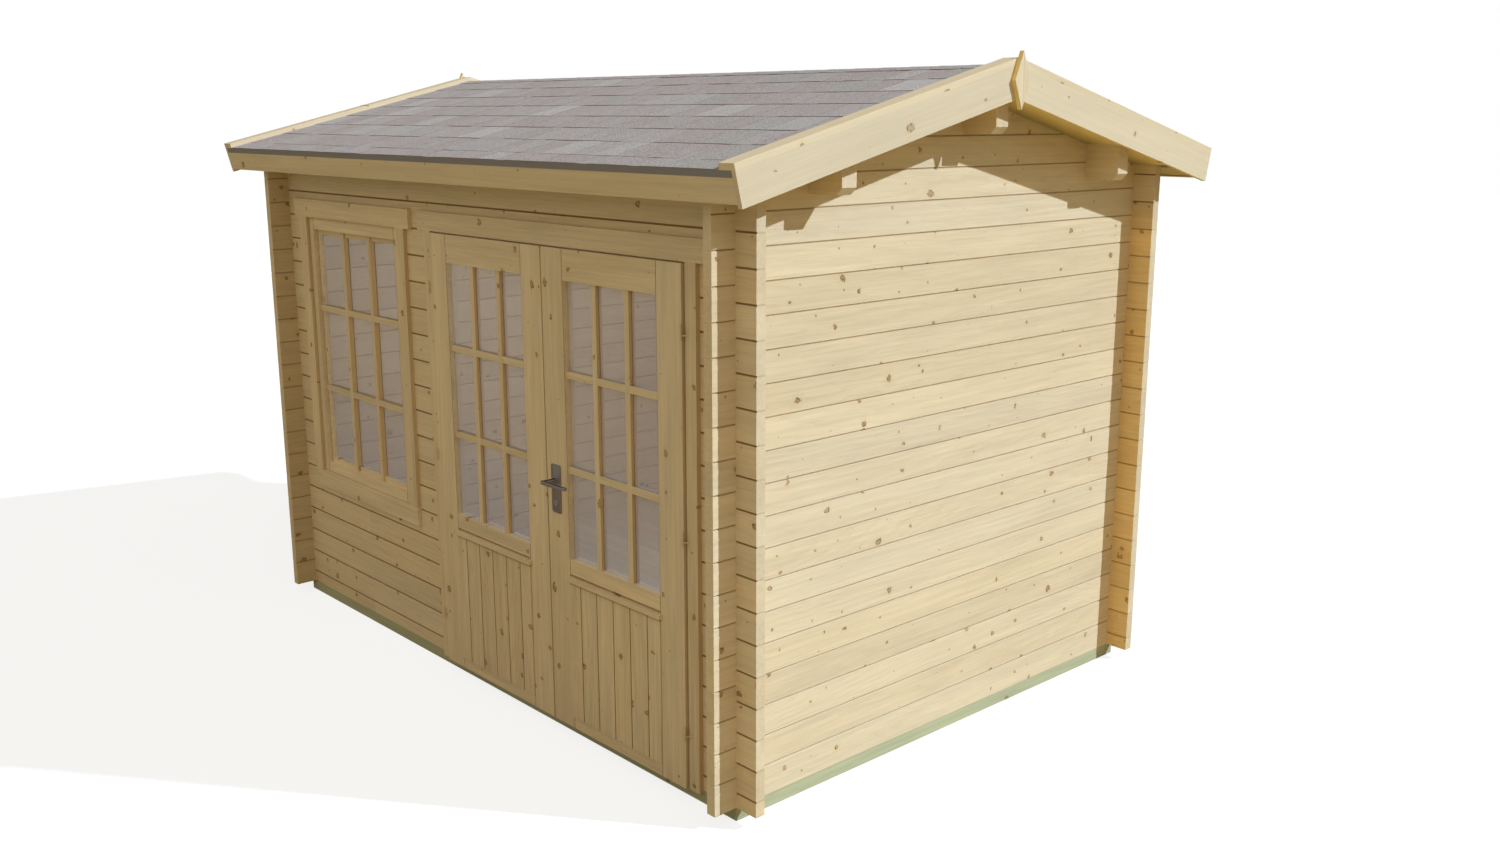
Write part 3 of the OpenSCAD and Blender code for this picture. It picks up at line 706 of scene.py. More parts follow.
class GARDENHOUSE_OT_foundation(bpy.types.Operator):
    """Paint the treated beams and joists"""

    bl_idname = "garden_house.foundation"
    bl_label = "Foundation"

    def execute(self, context):
        inner_low, inner_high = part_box("floor_joists")
        paint = Paint("treated_beams")
        x, y, z = paint.place
        lengthwise = 1.0 - (y > inner_low.y) * (y < inner_high.y)
        place = paint.choose(lengthwise, (x, z, y), (y, z, x))
        end = paint.looks_along("x") * lengthwise + paint.looks_along("y") * (1.0 - lengthwise)
        board = (x > 0.0) * (1.0 - lengthwise) * 2.0 + (y > 0.0) * lengthwise * 3.0 + lengthwise + 900.0
        surface = wood_surface(paint, place, board, end, 0.3, 1.3, True)
        set_wood(paint, surface, 0.0008)
        finish(paint.material, "foundation_beams")
        joists = board_material("treated_joists", "y", 920.0, often=0.3, contrast=1.3, treated=True)
        finish(joists, "floor_joists")
        return {"FINISHED"}


# ---------------------------------------------------------------- floor and roof boards


def tongued_board(name, length, width, thickness, chamfer):
    """Models one board along Y, from the origin to +X, +Y and +Z, with chamfered long edges."""
    board = add_block(name, (0.0, 0.0, 0.0), (width, length, thickness))
    edit(board, "EDGE", lambda edge: runs_along(edge, "y"))
    bpy.ops.mesh.bevel(offset=chamfer, segments=1)
    deselect()
    return board


def board_row(name, board, count, step):
    """Lays count boards side by side along X."""
    apply_modifier(board, "ARRAY", count=count, use_relative_offset=False, use_constant_offset=True,
                   constant_offset_displace=(step, 0.0, 0.0))
    board.name = board.data.name = name
    return board


def planking_material(name, axis, across_axis, start, width, seed):
    """Makes a row of boards, each with its own grain."""
    paint = Paint(name)
    place, end = lying(paint, axis)
    across = paint.place["xyz".index(across_axis)] - start
    board, middle_off, to_joint = boards_in_row(across, width)
    surface = wood_surface(paint, (place[0], middle_off, paint.place[2]), board + seed, end)
    set_wood(paint, darken_joint(paint, surface, to_joint, sizes().board_gap))
    return paint.material


class GARDENHOUSE_OT_floor(bpy.types.Operator):
    """Model the floor boards"""

    bl_idname = "garden_house.floor"
    bl_label = "Floor Boards"

    def execute(self, context):
        low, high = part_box("floor_boards")
        extent = high - low
        count = round(extent.y / sizes().floor_board_width)
        width = extent.y / count
        board = tongued_board("floor_board", extent.x, width, extent.z, sizes().board_chamfer * 0.6)
        planks = board_row("floor_planks", board, count, width)
        crossways = Matrix.Rotation(math.pi / 2, 4, "Z")
        planks.data.transform(Matrix.Translation((high.x, low.y, low.z)) @ crossways)
        material = planking_material("floor_planking", "x", "y", low.y, width, 1100.0)
        hand_over(planks, material, "house", "floor_wood", "floor_boards")
        return {"FINISHED"}


def slope_matrix(ridge_height, pitch, rear):
    """Returns the matrix that lays a flat piece on a slope, X along the ridge and Y up to the ridge."""
    turn = Matrix.Rotation(math.pi if rear else 0.0, 4, "Z")
    return turn @ Matrix.Translation((0.0, 0.0, ridge_height)) @ Matrix.Rotation(pitch, 4, "X")


class GARDENHOUSE_OT_roof_boards(bpy.types.Operator):
    """Model the boards of both slopes"""

    bl_idname = "garden_house.roof_boards"
    bl_label = "Roof Boards"

    def execute(self, context):
        for rear, node in enumerate(("front_roof_boards", "rear_roof_boards")):
            low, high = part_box(node)
            pitch, top = top_plane(node)
            under = top_plane("purlins")[1]
            thickness = (top - under) * math.cos(pitch)
            eave = (low.y if rear == 0 else -high.y) / math.cos(pitch)
            length = -eave - thickness * math.tan(pitch)
            extent = high.x - low.x
            count = round(extent / sizes().roof_board_width)
            width = extent / count
            board = tongued_board("roof_board", length, width, thickness, sizes().board_chamfer)
            edit(board, "VERT", lambda corner: corner.co.y > length / 2 and corner.co.z > thickness / 2)
            bpy.ops.transform.translate(value=(0.0, thickness * math.tan(pitch), 0.0))
            deselect()
            planks = board_row(node.replace("boards", "planks"), board, count, width)
            planks.data.transform(slope_matrix(under, pitch, rear)
                                  @ Matrix.Translation((low.x if rear == 0 else -high.x, -length, 0.0)))
            material = planking_material(node.replace("boards", "planking"), "y", "x", low.x, width,
                                         1300.0 + 100.0 * rear)
            hand_over(planks, material, "house", "board_wood", node)
        return {"FINISHED"}


class GARDENHOUSE_OT_roof_trim(bpy.types.Operator):
    """Paint the purlins, eave boards, barge boards, laths and finials"""

    bl_idname = "garden_house.roof_trim"
    bl_label = "Roof Trim"

    def execute(self, context):
        pitch, _ = top_plane("front_shingles")
        finish(board_material("purlin_wood", "x", 1500.0), "purlins")
        # the eave boards' inner faces carry painted shade
        eaves = board_material("eave_wood", "x", 1520.0, tint=colours().eave_back_shade,
                               edge=lambda paint: paint.facing[1] * paint.place[1] < -0.5)
        finish(eaves, "eave_boards")
        finish(rafter_material("barge_wood", pitch, 1540.0), "left_front_barge_board",
               "left_rear_barge_board", "right_front_barge_board", "right_rear_barge_board")
        finish(rafter_material("lath_wood", pitch, 1570.0), "cover_laths")
        # the finials' edges carry painted bounce light
        finials = board_material("finial_wood", "z", 1590.0, tint=colours().bounce_gold,
                                 edge=lambda paint: abs(paint.facing[0]) < 0.5)
        finish(finials, "finials")
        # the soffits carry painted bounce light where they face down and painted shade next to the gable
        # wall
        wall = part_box("right_gable_wall")[1].x
        finish(rafter_material("soffit_wood", pitch, 1610.0, wall), "verge_soffits")
        return {"FINISHED"}


# ---------------------------------------------------------------- shingles


def felt_material():
    """Makes mineral felt: coloured granules whose mix changes from tab to tab, and bare bitumen edges."""
    paint = Paint("roof_felt", Roughness=0.93, Specular_IOR_Level=0.25)
    x, y, z = paint.place
    tint = paint.node("ShaderNodeAttribute", {"attribute_name": "tint"}, out="Fac")
    family = paint.node("ShaderNodeValToRGB", {"stops": (
        (0.0, colours().felt_grey), (0.30, colours().felt_brown), (0.52, colours().felt_grey),
        (0.74, colours().felt_green), (1.0, colours().felt_pale))}, [tint], "Color")
    blot = paint.noise((x, y, z), 22.0, 2.0)
    base = paint.mix(blot.rise(0.35, 0.7) * 0.3, family, colours().felt_grey)
    clump = (paint.noise((x, y, z), 150.0, 2.0) - 0.5) * 2.0 + 1.0
    base = paint.mix(1.0, base, paint.grey(clump), "MULTIPLY")
    granules = {"Vector": paint.vector((x, y, z)), "Scale": 420.0}
    chance, other, _ = paint.split(paint.node("ShaderNodeTexVoronoi", None, granules, "Color"))
    speckled = paint.mix((chance > 0.72) * 0.85, base, colours().felt_pale)
    speckled = paint.mix((chance < 0.22) * 0.65, speckled, colours().felt_edge)
    speckled = paint.mix((other > 0.80) * 0.45, speckled, colours().felt_brown)
    flat = paint.facing[2].rise(0.55, 0.85)
    paint.set("Base Color", paint.mix(flat, colours().felt_edge, speckled))
    fine = paint.noise((x, y, z), 600.0, 1.0)
    wave = paint.noise((x, y, z), 18.0, 1.0)
    paint.bump(fine * 0.5 + other * 0.5 + wave * 1.5, 0.0012)
    return paint.material


def course_strip(name, length, exposure, rise):
    """Models one course: a strip with its lower edge at the origin, thick below and thin above."""
    strip = add_block(name, (0.0, 0.0, 0.0), (length, exposure * COURSE_LENGTH, rise))
    edit(strip, "VERT", lambda corner: corner.co.y > exposure / 2 and corner.co.z > rise / 2)
    bpy.ops.transform.translate(value=(0.0, 0.0, -rise * 0.85))
    deselect()
    return strip


def laminated_tab(name, width, exposure, base, rise, slant):
    """Models one raised tab of a course, with slanting sides and a worn lower edge."""
    tab = add_block(name, (0.0, 0.0, 0.0), (width, exposure * 1.04, base + rise))
    edit(tab, "VERT", lambda corner: corner.co.y > exposure / 2 and corner.co.z > base / 2)
    bpy.ops.transform.translate(value=(0.0, 0.0, -rise - base * 0.35))
    edit(tab, "VERT", lambda corner: corner.co.y > exposure / 2)
    bpy.ops.transform.resize(value=(1.0 - slant, 1.0, 1.0), center_override=(width / 2, 0.0, 0.0))
    edit(tab, "EDGE", lambda edge: middle_of(edge).z > rise / 2 and
         (middle_of(edge).y < rise or abs(middle_of(edge).x - width / 2) > width * 0.3))
    bpy.ops.mesh.bevel(offset=rise * 0.3, segments=1)
    deselect()
    return tab


def shingle_slope(name, node, rear, seed):
    """Lays the courses of one slope between the cover laths, from the eaves to the ridge."""
    draw = random.Random(seed)
    pitch, ridge = top_plane(node)
    low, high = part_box(node)
    eave = (low.y if rear == 0 else -high.y) / math.cos(pitch)
    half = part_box("cover_laths")[1].x - sizes().lath_width
    exposure, rise, tab_rise = sizes().exposure, sizes().course_rise, sizes().tab_rise
    strip = course_strip("course", 2 * half, exposure, rise)
    tab = laminated_tab("tab", 1.0, exposure, rise, tab_rise, 0.04)
    pieces = []
    edges = [eave]
    while edges[-1] + exposure < -0.02:
        edges.append(edges[-1] + (sizes().first_exposure if len(edges) == 1 else exposure))
    for edge in edges:
        reach = min(1.0, -edge / (exposure * COURSE_LENGTH))
        flatten = Matrix.Diagonal((1.0, reach, 1.0, 1.0))
        pieces.append(placed_copy(strip, Matrix.Translation((-half, edge, 0.0)) @ flatten,
                                  draw.uniform(0.3, 0.55)))
        start = -half + draw.uniform(-0.10, 0.05)
        while start < half:
            width = draw.uniform(0.09, 0.24)
            left, right = max(start, -half), min(start + width, half)
            if right - left > 0.02:
                shape = Matrix.Diagonal((right - left, reach, 1.0, 1.0))
                pieces.append(placed_copy(tab, Matrix.Translation((left, edge - 0.0005, 0.0)) @ shape,
                                          draw.random()))
            start += width + draw.choice((0.0015, draw.uniform(0.05, 0.2)))
    discard(strip)
    discard(tab)
    courses = join(name, pieces)
    courses.data.transform(slope_matrix(ridge, pitch, rear))
    return courses


def ridge_cap_shingle(name, reach, length, rise, pitch):
    """Models one shingle folded over the ridge, its crease along X."""
    cap = add_block(name, (0.0, -reach, 0.0), (length * CAP_LENGTH, reach, rise))
    bpy.ops.object.mode_set(mode="EDIT")
    bpy.ops.mesh.select_all(action="SELECT")
    bpy.ops.mesh.bisect(plane_co=(0.0, 0.0, 0.0), plane_no=(0.0, 1.0, 0.0))
    edit(cap, "VERT", lambda corner: abs(corner.co.y) > reach / 2)
    bpy.ops.transform.translate(value=(0.0, 0.0, -reach * math.tan(pitch)))
    edit(cap, "VERT", lambda corner: corner.co.x < length / 2)
    bpy.ops.transform.translate(value=(0.0, 0.0, rise * 0.9))
    edit(cap, "EDGE", lambda edge: runs_along(edge, "x") and abs(middle_of(edge).y) < reach / 2
         and middle_of(edge).z > rise / 2)
    bpy.ops.mesh.bevel(offset=0.012, segments=3)
    deselect()
    return cap


def ridge_cap(name, seed):
    """Lays the ridge cap shingles, each over the next."""
    draw = random.Random(seed)
    pitch, ridge = top_plane("front_shingles")
    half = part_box("cover_laths")[1].x - sizes().lath_width
    rise = sizes().course_rise
    length = sizes().cap_exposure
    cap = ridge_cap_shingle("cap", sizes().cap_reach, length, rise, pitch)
    count = round(2 * half / length)
    step = 2 * half / count
    lift = ridge + rise * 0.5
    pieces = []
    for index in range(count):
        stretch = step / length / (CAP_LENGTH if index == count - 1 else 1.0)
        shape = Matrix.Diagonal((stretch, 1.0, 1.0, 1.0))
        matrix = Matrix.Translation((-half + index * step, 0.0, lift)) @ shape
        pieces.append(placed_copy(cap, matrix, draw.uniform(0.15, 0.7)))
    discard(cap)
    return join(name, pieces)


class GARDENHOUSE_OT_shingles(bpy.types.Operator):
    """Model the shingle courses of both slopes and the ridge cap"""

    bl_idname = "garden_house.shingles"
    bl_label = "Shingles"

    def execute(self, context):
        felt = felt_material()
        finish(felt, "front_shingles", "rear_shingles")
        for rear, (side, seed) in enumerate((("front", 11), ("rear", 23))):
            courses = shingle_slope(f"{side}_shingle_courses", f"{side}_shingles", rear, seed)
            hand_over(courses, felt, "house", "roof_felt")
        hand_over(ridge_cap("ridge_cap_shingles", 37), felt, "house", "roof_felt")
        return {"FINISHED"}


# ---------------------------------------------------------------- window and door


def stiles_and_rails(centre, inner_half, levels):
    """Returns the mask function of a frame, upright outside inner_half of its middle line and level
    between. levels are heights that part one level board from the next."""
    def upright(x, z):
        mask = abs(x - centre) > inner_half
        rail = sum((z > level) * (2.0 + index) for index, level in enumerate(levels))
        return mask, (x > centre) * mask * 3.0 + rail * (1.0 - mask) + mask * 13.0
    return upright


def stile_joints(centre, inner_half, shadow=-1.0):
    """Returns the distance function of the two upright lines where rails meet stiles. Between them it
    also paints a level shadow line at the height shadow."""
    def distance(x, z):
        beside = abs(x - centre) > inner_half
        return abs(abs(x - centre) - inner_half).at_most(abs(z - shadow) * 0.5 + beside)
    return distance


def boards_round_opening(centre, inner_half, bottom, top):
    """Returns the mask function of a casing or lining whose head and sill lie across its sides."""
    def upright(x, z):
        mask = (abs(x - centre) > inner_half) * (z < top) * (z > bottom)
        return mask, (x > centre) * mask * 3.0 + mask * 7.0 + (z > (top + bottom) / 2) * (1.0 - mask) * 2.0
    return upright


def bars_in_grid(centre, pane_step, bar_width):
    """Returns the mask function of glazing bars with two upright bars beside the middle line."""
    def upright(x, z):
        clearance = 0.0002
        mask = abs(abs(x - centre) - pane_step / 2) < bar_width / 2 + clearance
        return mask, (x > centre) * mask * 3.0 + (z / 0.3).floor() * (1.0 - mask) + 5.0
    return upright


def pane_material():
    """Makes glass that shows the room behind it through a pale veil."""
    paint = Paint("window_pane", Roughness=0.06, Alpha=0.26, IOR=1.5)
    x, y, z = paint.place
    haze = paint.noise((x, y, z), 2.5, 1.0)
    value = haze * 0.16 + 0.92
    low = 1.0 - z.rise(0.75, 1.25)
    veil = paint.mix(low, colours().glass, colours().glass_low)
    paint.set("Base Color", paint.mix(1.0, veil, paint.grey(value), "MULTIPLY"))
    return paint.material


class GARDENHOUSE_OT_window(bpy.types.Operator):
    """Paint the window"""

    bl_idname = "garden_house.window"
    bl_label = "Window"

    def execute(self, context):
        centre = middle_x("window_sash")
        sash_low, sash_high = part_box("window_sash")
        glass_low, glass_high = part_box("window_glass")
        frame_low, frame_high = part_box("window_frame")
        half = (sash_high.x - sash_low.x) / 2
        pane_step = (glass_high.x - glass_low.x - 2 * sizes().bar_width) / 3 + sizes().bar_width
        casing = boards_round_opening(centre, half, sash_low.z, sash_high.z)
        finish(framed_material("window_casing_wood", casing, 1700.0), "window_casing")
        lining = boards_round_opening(centre, half - 0.005, frame_low.z + 0.02, frame_high.z - 0.02)
        finish(framed_material("window_frame_wood", lining, 1720.0), "window_frame")
        sash = stiles_and_rails(centre, half - sizes().sash_stile_width, (1.3,))
        joints = stile_joints(centre, half - sizes().sash_stile_width)
        finish(framed_material("sash_wood", sash, 1740.0, joints), "window_sash")
        bars = bars_in_grid(centre, pane_step, sizes().bar_width)
        finish(framed_material("window_bar_wood", bars, 1760.0, bars=True), "window_bars")
        return {"FINISHED"}


class GARDENHOUSE_OT_door(bpy.types.Operator):
    """Paint the door frame, the casing and both leaves"""

    bl_idname = "garden_house.door"
    bl_label = "Door"

    def execute(self, context):
        centre = middle_x("door_casing")
        leaf_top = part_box("left_door_frame")[1].z
        leaf_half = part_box("right_door_frame")[1].x - centre
        casing = boards_round_opening(centre, leaf_half, -1.0, leaf_top + 0.005)
        finish(framed_material("door_casing_wood", casing, 1800.0), "door_casing")
        lining = boards_round_opening(centre, leaf_half - 0.02, 0.075, leaf_top - 0.02)
        finish(framed_material("door_frame_wood", lining, 1820.0), "door_frame")
        for seed, side in ((1840.0, "left"), (1900.0, "right")):
            self.paint_leaf(side, seed)
        return {"FINISHED"}

    def paint_leaf(self, side, seed):
        """Paints the wooden pieces of one leaf."""
        glass_low, glass_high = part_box(f"{side}_door_glass")
        panel_low, panel_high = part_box(f"{side}_door_panel")
        centre = (glass_low.x + glass_high.x) / 2
        half = (glass_high.x - glass_low.x) / 2
        rails = stiles_and_rails(centre, half, (panel_high.z - 0.05, glass_high.z - 0.05))
        # the groove over the drip bar carries a painted shadow line
        under_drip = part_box(f"{side}_door_drip_bar")[1].z + 0.0045
        joints = stile_joints(centre, half, under_drip)
        finish(framed_material(f"{side}_leaf_wood", rails, seed, joints), f"{side}_door_frame")
        pane_step = (2 * half - 2 * sizes().bar_width) / 3 + sizes().bar_width
        bars = bars_in_grid(centre, pane_step, sizes().bar_width)
        finish(framed_material(f"{side}_bar_wood", bars, seed + 20.0, bars=True), f"{side}_door_bars")
        finish(board_material(f"{side}_drip_wood", "x", seed + 30.0), f"{side}_door_drip_bar")
        self.paint_panel(side, seed + 40.0, panel_low, panel_high)

    def paint_panel(self, side, seed, low, high):
        """Paints the tongued boards of a leaf's panel, the same on both sides of its middle."""
        paint = Paint(f"{side}_panel_wood")
        place, end = lying(paint, "z")
        across = paint.place[0] - (low.x + high.x) / 2
        board, middle_off, to_joint = boards_in_row(across, sizes().panel_board_width)
        surface = wood_surface(paint, (place[0], middle_off, place[2]), board + seed, end, contrast=1.4)
        surface = darken_joint(paint, surface, to_joint, sizes().panel_gap, 1.0, 0.95)
        # painted shade under the drip bar, along the top of the panel
        drip_shade = 0.012
        set_wood(paint, darken_joint(paint, surface, high.z - paint.place[2], drip_shade, 1.0, 0.5))
        finish(paint.material, f"{side}_door_panel")


class GARDENHOUSE_OT_panes(bpy.types.Operator):
    """Give the panes their glass"""

    bl_idname = "garden_house.panes"
    bl_label = "Panes"

    def execute(self, context):
        finish(pane_material(), "window_glass", "left_door_glass", "right_door_glass")
        return {"FINISHED"}


# ---------------------------------------------------------------- metal


def metal_material(name, base, roughness, metallic, wear, lock=None, top_shade=0.0):
    """Makes brushed or plated metal with fine scratches and dull patches. lock is the place of a lock
    cylinder, whose rim is nickel; top_shade is how much painted shade darkens the top against the sides."""
    paint = Paint(name)
    x, y, z = paint.place
    if lock is not None:
        off_x, off_z = x - lock[0], z - lock[1]
        off = (off_x * off_x + off_z * off_z).root()
        base = paint.mix((off > 0.0060) * (off < 0.0087), base, colours().nickel)
    # painted shade on the faces that look up
    if top_shade:
        base = paint.mix((paint.facing[2] > SQUARELY) * top_shade, base, BLACK)
    dull = paint.noise((x, y, z), 60.0, 2.0)
    scratch = paint.noise((x * 900.0, y * 900.0, z * 90.0), 1.0, 1.0)
    value = (dull - 0.5) * wear + (scratch - 0.5) * wear * 0.5 + 1.0
    tone = paint.mix(1.0, base, paint.grey(value), "MULTIPLY")
    paint.set("Base Color", tone)
    paint.set("Roughness", dull * 0.2 + scratch * 0.08 + (roughness - 0.14))
    paint.set("Metallic", metallic)
    paint.bump(scratch, 0.00002)
    return paint.material


class GARDENHOUSE_OT_hinges(bpy.types.Operator):
    """Give the hinges their zinc"""

    bl_idname = "garden_house.hinges"
    bl_label = "Hinges"

    def execute(self, context):
        zinc = metal_material("hinge_zinc", colours().zinc, 0.55, 0.15, 0.25)
        finish(zinc, "casing_hinges", "left_door_hinges", "right_door_hinges")
        return {"FINISHED"}


def lever(name, low, high, neck, inner):
    """Models one lever of the handle: a bar that tapers to a tip bent towards the leaf."""
    outer_y = high.y if inner else low.y
    toward = -1.0 if inner else 1.0
    back, front = sorted((outer_y, outer_y + toward * sizes().lever_thickness))
    bar = add_block(name, (low.x, back, low.z), (high.x, front, high.z))
    bpy.ops.object.mode_set(mode="EDIT")
    for cut in (high.x - 0.030, neck.x + 0.022):
        bpy.ops.mesh.select_all(action="SELECT")
        bpy.ops.mesh.bisect(plane_co=(cut, 0.0, 0.0), plane_no=(1.0, 0.0, 0.0))
    edit(bar, "VERT", lambda corner: corner.co.x > high.x - 0.05)
    bpy.ops.transform.resize(value=(1.0, 1.0, 0.82), center_override=(0.0, 0.0, neck.z))
    edit(bar, "VERT", lambda corner: corner.co.x > high.x - 0.005)
    bpy.ops.transform.translate(value=(0.0, toward * 0.007, 0.0))
    deselect()
    round_off(bar, 0.0032, 3)
    return bar


class GARDENHOUSE_OT_handle(bpy.types.Operator):
    """Model the levers, their plates and the lock cylinders"""

    bl_idname = "garden_house.handle"
    bl_label = "Handle"

    def execute(self, context):
        self.model_levers()
        self.model_plates()
        return {"FINISHED"}

    def model_levers(self):
        """Models the lever on each face and the spindle that joins them."""
        low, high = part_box("door_handle")
        axis = Vector((low.x + sizes().lever_neck, (low.y + high.y) / 2, (low.z + high.z) / 2))
        sunk = 0.003
        spindle = add_cylinder("spindle", axis, 0.0079, high.y - low.y - 2 * sunk, "y", 32)
        round_off(spindle, 0.002)
        outer = lever("outer_lever", low, high, axis, False)
        inner = lever("inner_lever", low, high, axis, True)
        levers = join("door_levers", [spindle, outer, inner])
        smooth(levers)
        # the levers' tops carry painted shade
        material = metal_material("handle_graphite", colours().graphite, 0.40, 0.75, 0.2, None, 0.92)
        hand_over(levers, material, "handle", "handle_metal", "door_handle")

    def model_plates(self):
        """Models the plate on each face of the leaf, with its collar and lock cylinder."""
        low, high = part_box("door_handle_plates")
        leaf_low, leaf_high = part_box("right_door_frame")
        lever_z = (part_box("door_handle")[0].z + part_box("door_handle")[1].z) / 2
        lock_z = lever_z - sizes().lock_drop
        x = middle_x("door_handle_plates")
        pieces = []
        for face, outward in ((leaf_low.y, -1.0), (leaf_high.y, 1.0)):
            pieces.append(self.plate(low, high, face, outward))
            collar = add_cylinder("collar", (x, face + outward * 0.005, lever_z), 0.0155, 0.006, "y", 40)
            round_off(collar, 0.0015)
            pieces.append(collar)
            pieces.append(self.lock(x, face, outward, lock_z))
        plates = join("handle_plates", pieces)
        smooth(plates)
        material = metal_material("plate_graphite", colours().graphite, 0.40, 0.75, 0.2, (x, lock_z))
        hand_over(plates, material, "right_leaf", "handle_metal", "door_handle_plates")

    def plate(self, low, high, face, outward):
        """Models one plate with rounded corners and eased edges."""
        back, front = sorted((face, face + outward * sizes().plate_thickness))
        plate = add_block("plate", (low.x, back, low.z), (high.x, front, high.z))
        edit(plate, "EDGE", lambda edge: runs_along(edge, "y"))
        bpy.ops.mesh.bevel(offset=0.006, segments=4)
        deselect()
        round_off(plate, 0.001)
        return plate

    def lock(self, x, face, outward, z):
        """Models a lock cylinder: a round barrel with a sunk middle and a keyway, over a narrower foot."""
        barrel = add_cylinder("barrel", (x, face + outward * 0.004, z), 0.0085, 0.008, "y", 32)
        edit(barrel, "FACE", lambda side: side.normal.y * outward > 0.9)
        bpy.ops.mesh.inset(thickness=0.0022)
        bpy.ops.transform.translate(value=(0.0, outward * -0.0008, 0.0))
        deselect()
        back, front = sorted((face, face + outward * 0.007))
        foot = add_block("foot", (x - 0.005, back, z - 0.024), (x + 0.005, front, z - 0.004))
        round_off(foot, 0.002)
        back, front = sorted((face, face + outward * 0.0086))
        keyway = add_block("keyway", (x - 0.0011, back, z - 0.0045), (x + 0.0011, front, z + 0.0045))
        round_off(keyway, 0.0005)
        return join("lock", [barrel, foot, keyway])


# ---------------------------------------------------------------- stage


FLOOR_WIDTH = 80.0
SUN_DIRECTION = (-1.0, -0.77, -0.918)
SUN_STRENGTH = 3.05
SUN_WIDTH = math.radians(0.8)
SUN_COLOUR = (0.89, 1.06, 1.30)
LAMP_PLACE = (0.2, 0.0, 1.75)
LAMP_RADIUS = 0.3
LAMP_WATTS = 27.0
LAMP_COLOUR = (0.58, 0.73, 1.0)
CAMERA_PLACE = (4.9294, -4.0793, 2.4078)
CAMERA_TURN = (math.radians(77.413), 0.0, math.radians(47.615))
CAMERA_LENS = 33.156
CAMERA_SENSOR = 36.0


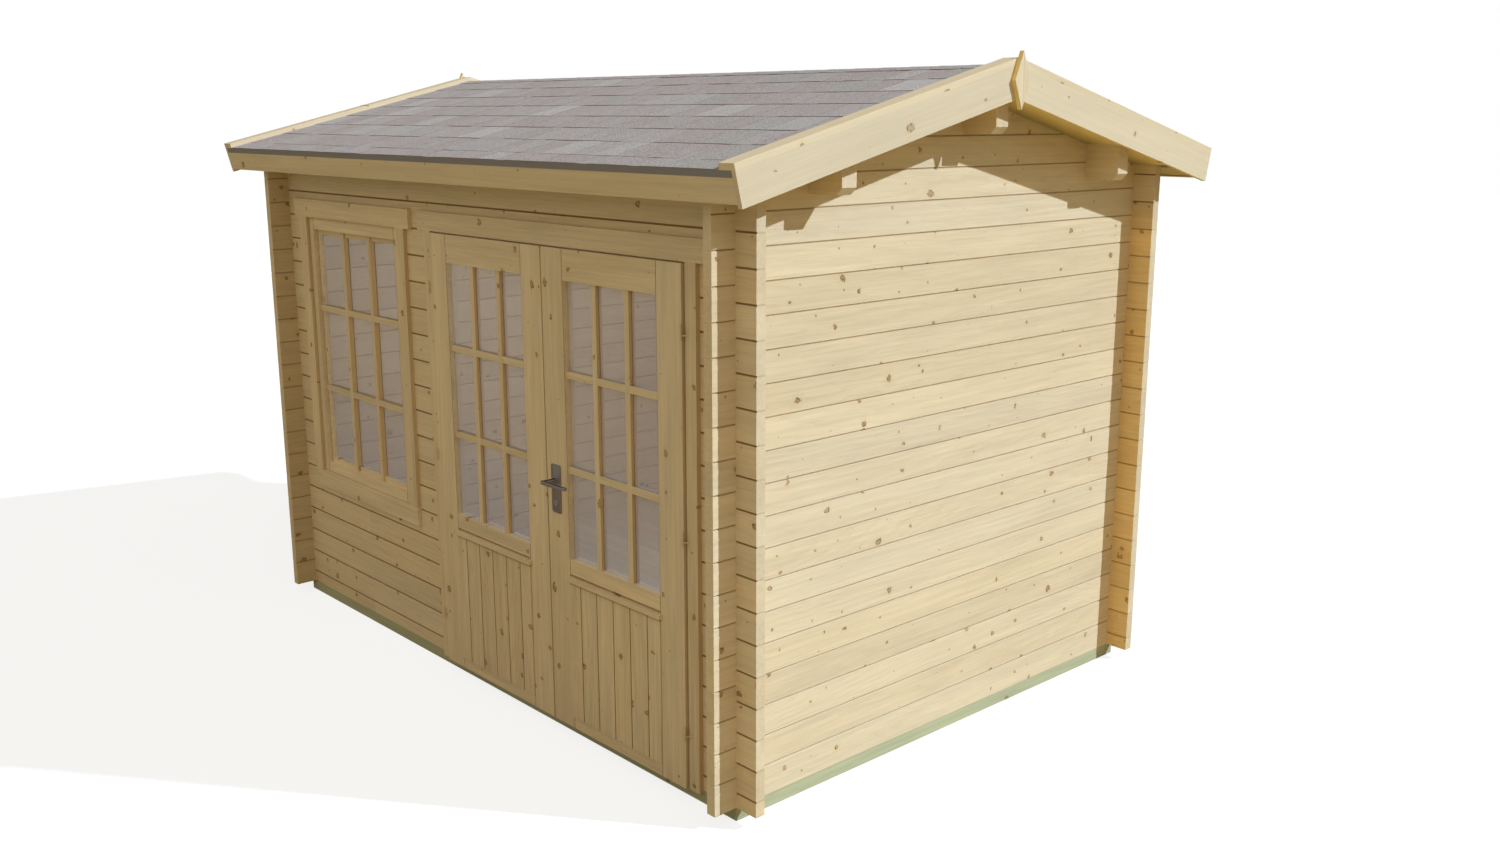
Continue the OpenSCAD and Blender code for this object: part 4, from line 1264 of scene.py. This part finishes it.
class GARDENHOUSE_OT_stage(bpy.types.Operator):
    """Set up the floor, the light and the camera"""

    bl_idname = "garden_house.stage"
    bl_label = "Stage"

    def execute(self, context):
        self.lay_floor()
        self.light_world()
        self.hang_sun()
        self.light_room()
        self.place_camera()
        return {"FINISHED"}

    def lay_floor(self):
        """Lays a wide floor: almost white to look at, and warm in the light that it sends back."""
        deselect()
        bpy.ops.mesh.primitive_plane_add(size=FLOOR_WIDTH, location=(0.0, 0.0, 0.0))
        floor = settle("studio_floor")
        paint = Paint("studio_floor", Roughness=1.0, Specular_IOR_Level=0.0)
        x, y, _ = paint.place
        cloud = paint.noise((x, y, 0.0), 0.6) * 0.05
        paint.set("Base Color", paint.mix(cloud, colours().floor, WHITE))
        backdrop = paint.node("ShaderNodeBsdfPrincipled", None, {
            "Base Color": (0.28, 0.28, 0.28), "Roughness": 1.0, "Specular IOR Level": 0.0,
            "Emission Color": WHITE, "Emission Strength": 0.80})
        seen = paint.node("ShaderNodeLightPath", out="Is Camera Ray")
        bounce = Number(paint, paint.shader.outputs[0])
        both = paint.node("ShaderNodeMixShader", None, [seen, bounce, backdrop])
        paint.feed(paint.nodes["Material Output"].inputs["Surface"], both)
        floor.data.materials.append(paint.material)

    def light_world(self):
        """Gives the scene soft light from all sides, most of it over the front right corner, before a
        white backdrop."""
        world = bpy.data.worlds.new("studio")
        bpy.context.scene.world = world
        world.use_nodes = True
        tree = Tree(world.node_tree)
        tree.nodes.clear()
        toward_x, toward_y, toward_z = tree.split(tree.node("ShaderNodeTexCoord", out="Generated"))
        sides = (toward_x * toward_y * 1.6 - toward_x * 0.35 - toward_y * 0.25 + 1.0).at_least(0.1) * 0.6
        over_corner = ((toward_x - toward_y) * toward_z * 3.0).at_least(0.0)
        soft = tree.node("ShaderNodeBackground", None, [colours().sky, sides + over_corner])
        white = tree.node("ShaderNodeBackground", None, [WHITE, 1.0])
        seen = tree.node("ShaderNodeLightPath", out="Is Camera Ray")
        both = tree.node("ShaderNodeMixShader", None, [seen, soft, white])
        tree.node("ShaderNodeOutputWorld", None, [both])

    def hang_sun(self):
        """Adds the key light, high over the right rear corner."""
        deselect()
        bpy.ops.object.light_add(type="SUN", location=(6.0, 4.0, 6.0))
        sun = bpy.context.object
        sun.name = "key_light"
        sun.rotation_euler = Vector(SUN_DIRECTION).to_track_quat("-Z", "Y").to_euler()
        sun.data.energy = SUN_STRENGTH
        sun.data.angle = SUN_WIDTH
        sun.data.color = SUN_COLOUR

    def light_room(self):
        """Adds a soft light under the ridge, for what shows through the panes and the open door."""
        deselect()
        bpy.ops.object.light_add(type="POINT", location=LAMP_PLACE)
        lamp = bpy.context.object
        lamp.name = "room_light"
        lamp.data.energy = LAMP_WATTS
        lamp.data.shadow_soft_size = LAMP_RADIUS
        lamp.data.color = LAMP_COLOUR

    def place_camera(self):
        """Places the camera before the front right corner."""
        camera = bpy.data.cameras.new("camera")
        camera.lens = CAMERA_LENS
        camera.sensor_width = CAMERA_SENSOR
        holder = bpy.data.objects.new("camera", camera)
        holder.location = CAMERA_PLACE
        holder.rotation_euler = CAMERA_TURN
        bpy.context.scene.collection.objects.link(holder)
        bpy.context.scene.camera = holder
        bpy.context.scene.view_settings.view_transform = "Standard"


# ---------------------------------------------------------------- add-on


OPERATORS = (
    GARDENHOUSE_OT_stage,
    GARDENHOUSE_OT_log_walls,
    GARDENHOUSE_OT_foundation,
    GARDENHOUSE_OT_floor,
    GARDENHOUSE_OT_roof_boards,
    GARDENHOUSE_OT_roof_trim,
    GARDENHOUSE_OT_shingles,
    GARDENHOUSE_OT_window,
    GARDENHOUSE_OT_door,
    GARDENHOUSE_OT_panes,
    GARDENHOUSE_OT_hinges,
    GARDENHOUSE_OT_handle,
)


class GARDENHOUSE_PT_panel(bpy.types.Panel):
    """Lists the settings and the steps."""

    bl_idname = "GARDENHOUSE_PT_panel"
    bl_label = "Garden House"
    bl_space_type = "VIEW_3D"
    bl_region_type = "UI"
    bl_category = "Garden House"

    def draw(self, context):
        for settings in (context.scene.garden_house_sizes, context.scene.garden_house_colours):
            column = self.layout.column()
            for name in settings.__annotations__:
                column.prop(settings, name)
        for operator in OPERATORS:
            self.layout.operator(operator.bl_idname)


CLASSES = (HouseSizes, HouseColours, *OPERATORS, GARDENHOUSE_PT_panel)


def register():
    """Registers the classes and hangs the settings on the scene."""
    for item in CLASSES:
        bpy.utils.register_class(item)
    bpy.types.Scene.garden_house_sizes = PointerProperty(type=HouseSizes)
    bpy.types.Scene.garden_house_colours = PointerProperty(type=HouseColours)


def unregister():
    """Takes back what register did."""
    del bpy.types.Scene.garden_house_colours
    del bpy.types.Scene.garden_house_sizes
    for item in reversed(CLASSES):
        bpy.utils.unregister_class(item)


def main():
    """Runs every step in order."""
    register()
    for operator in OPERATORS:
        group, name = operator.bl_idname.split(".")
        getattr(getattr(bpy.ops, group), name)()


if __name__ == "__main__":
    main()
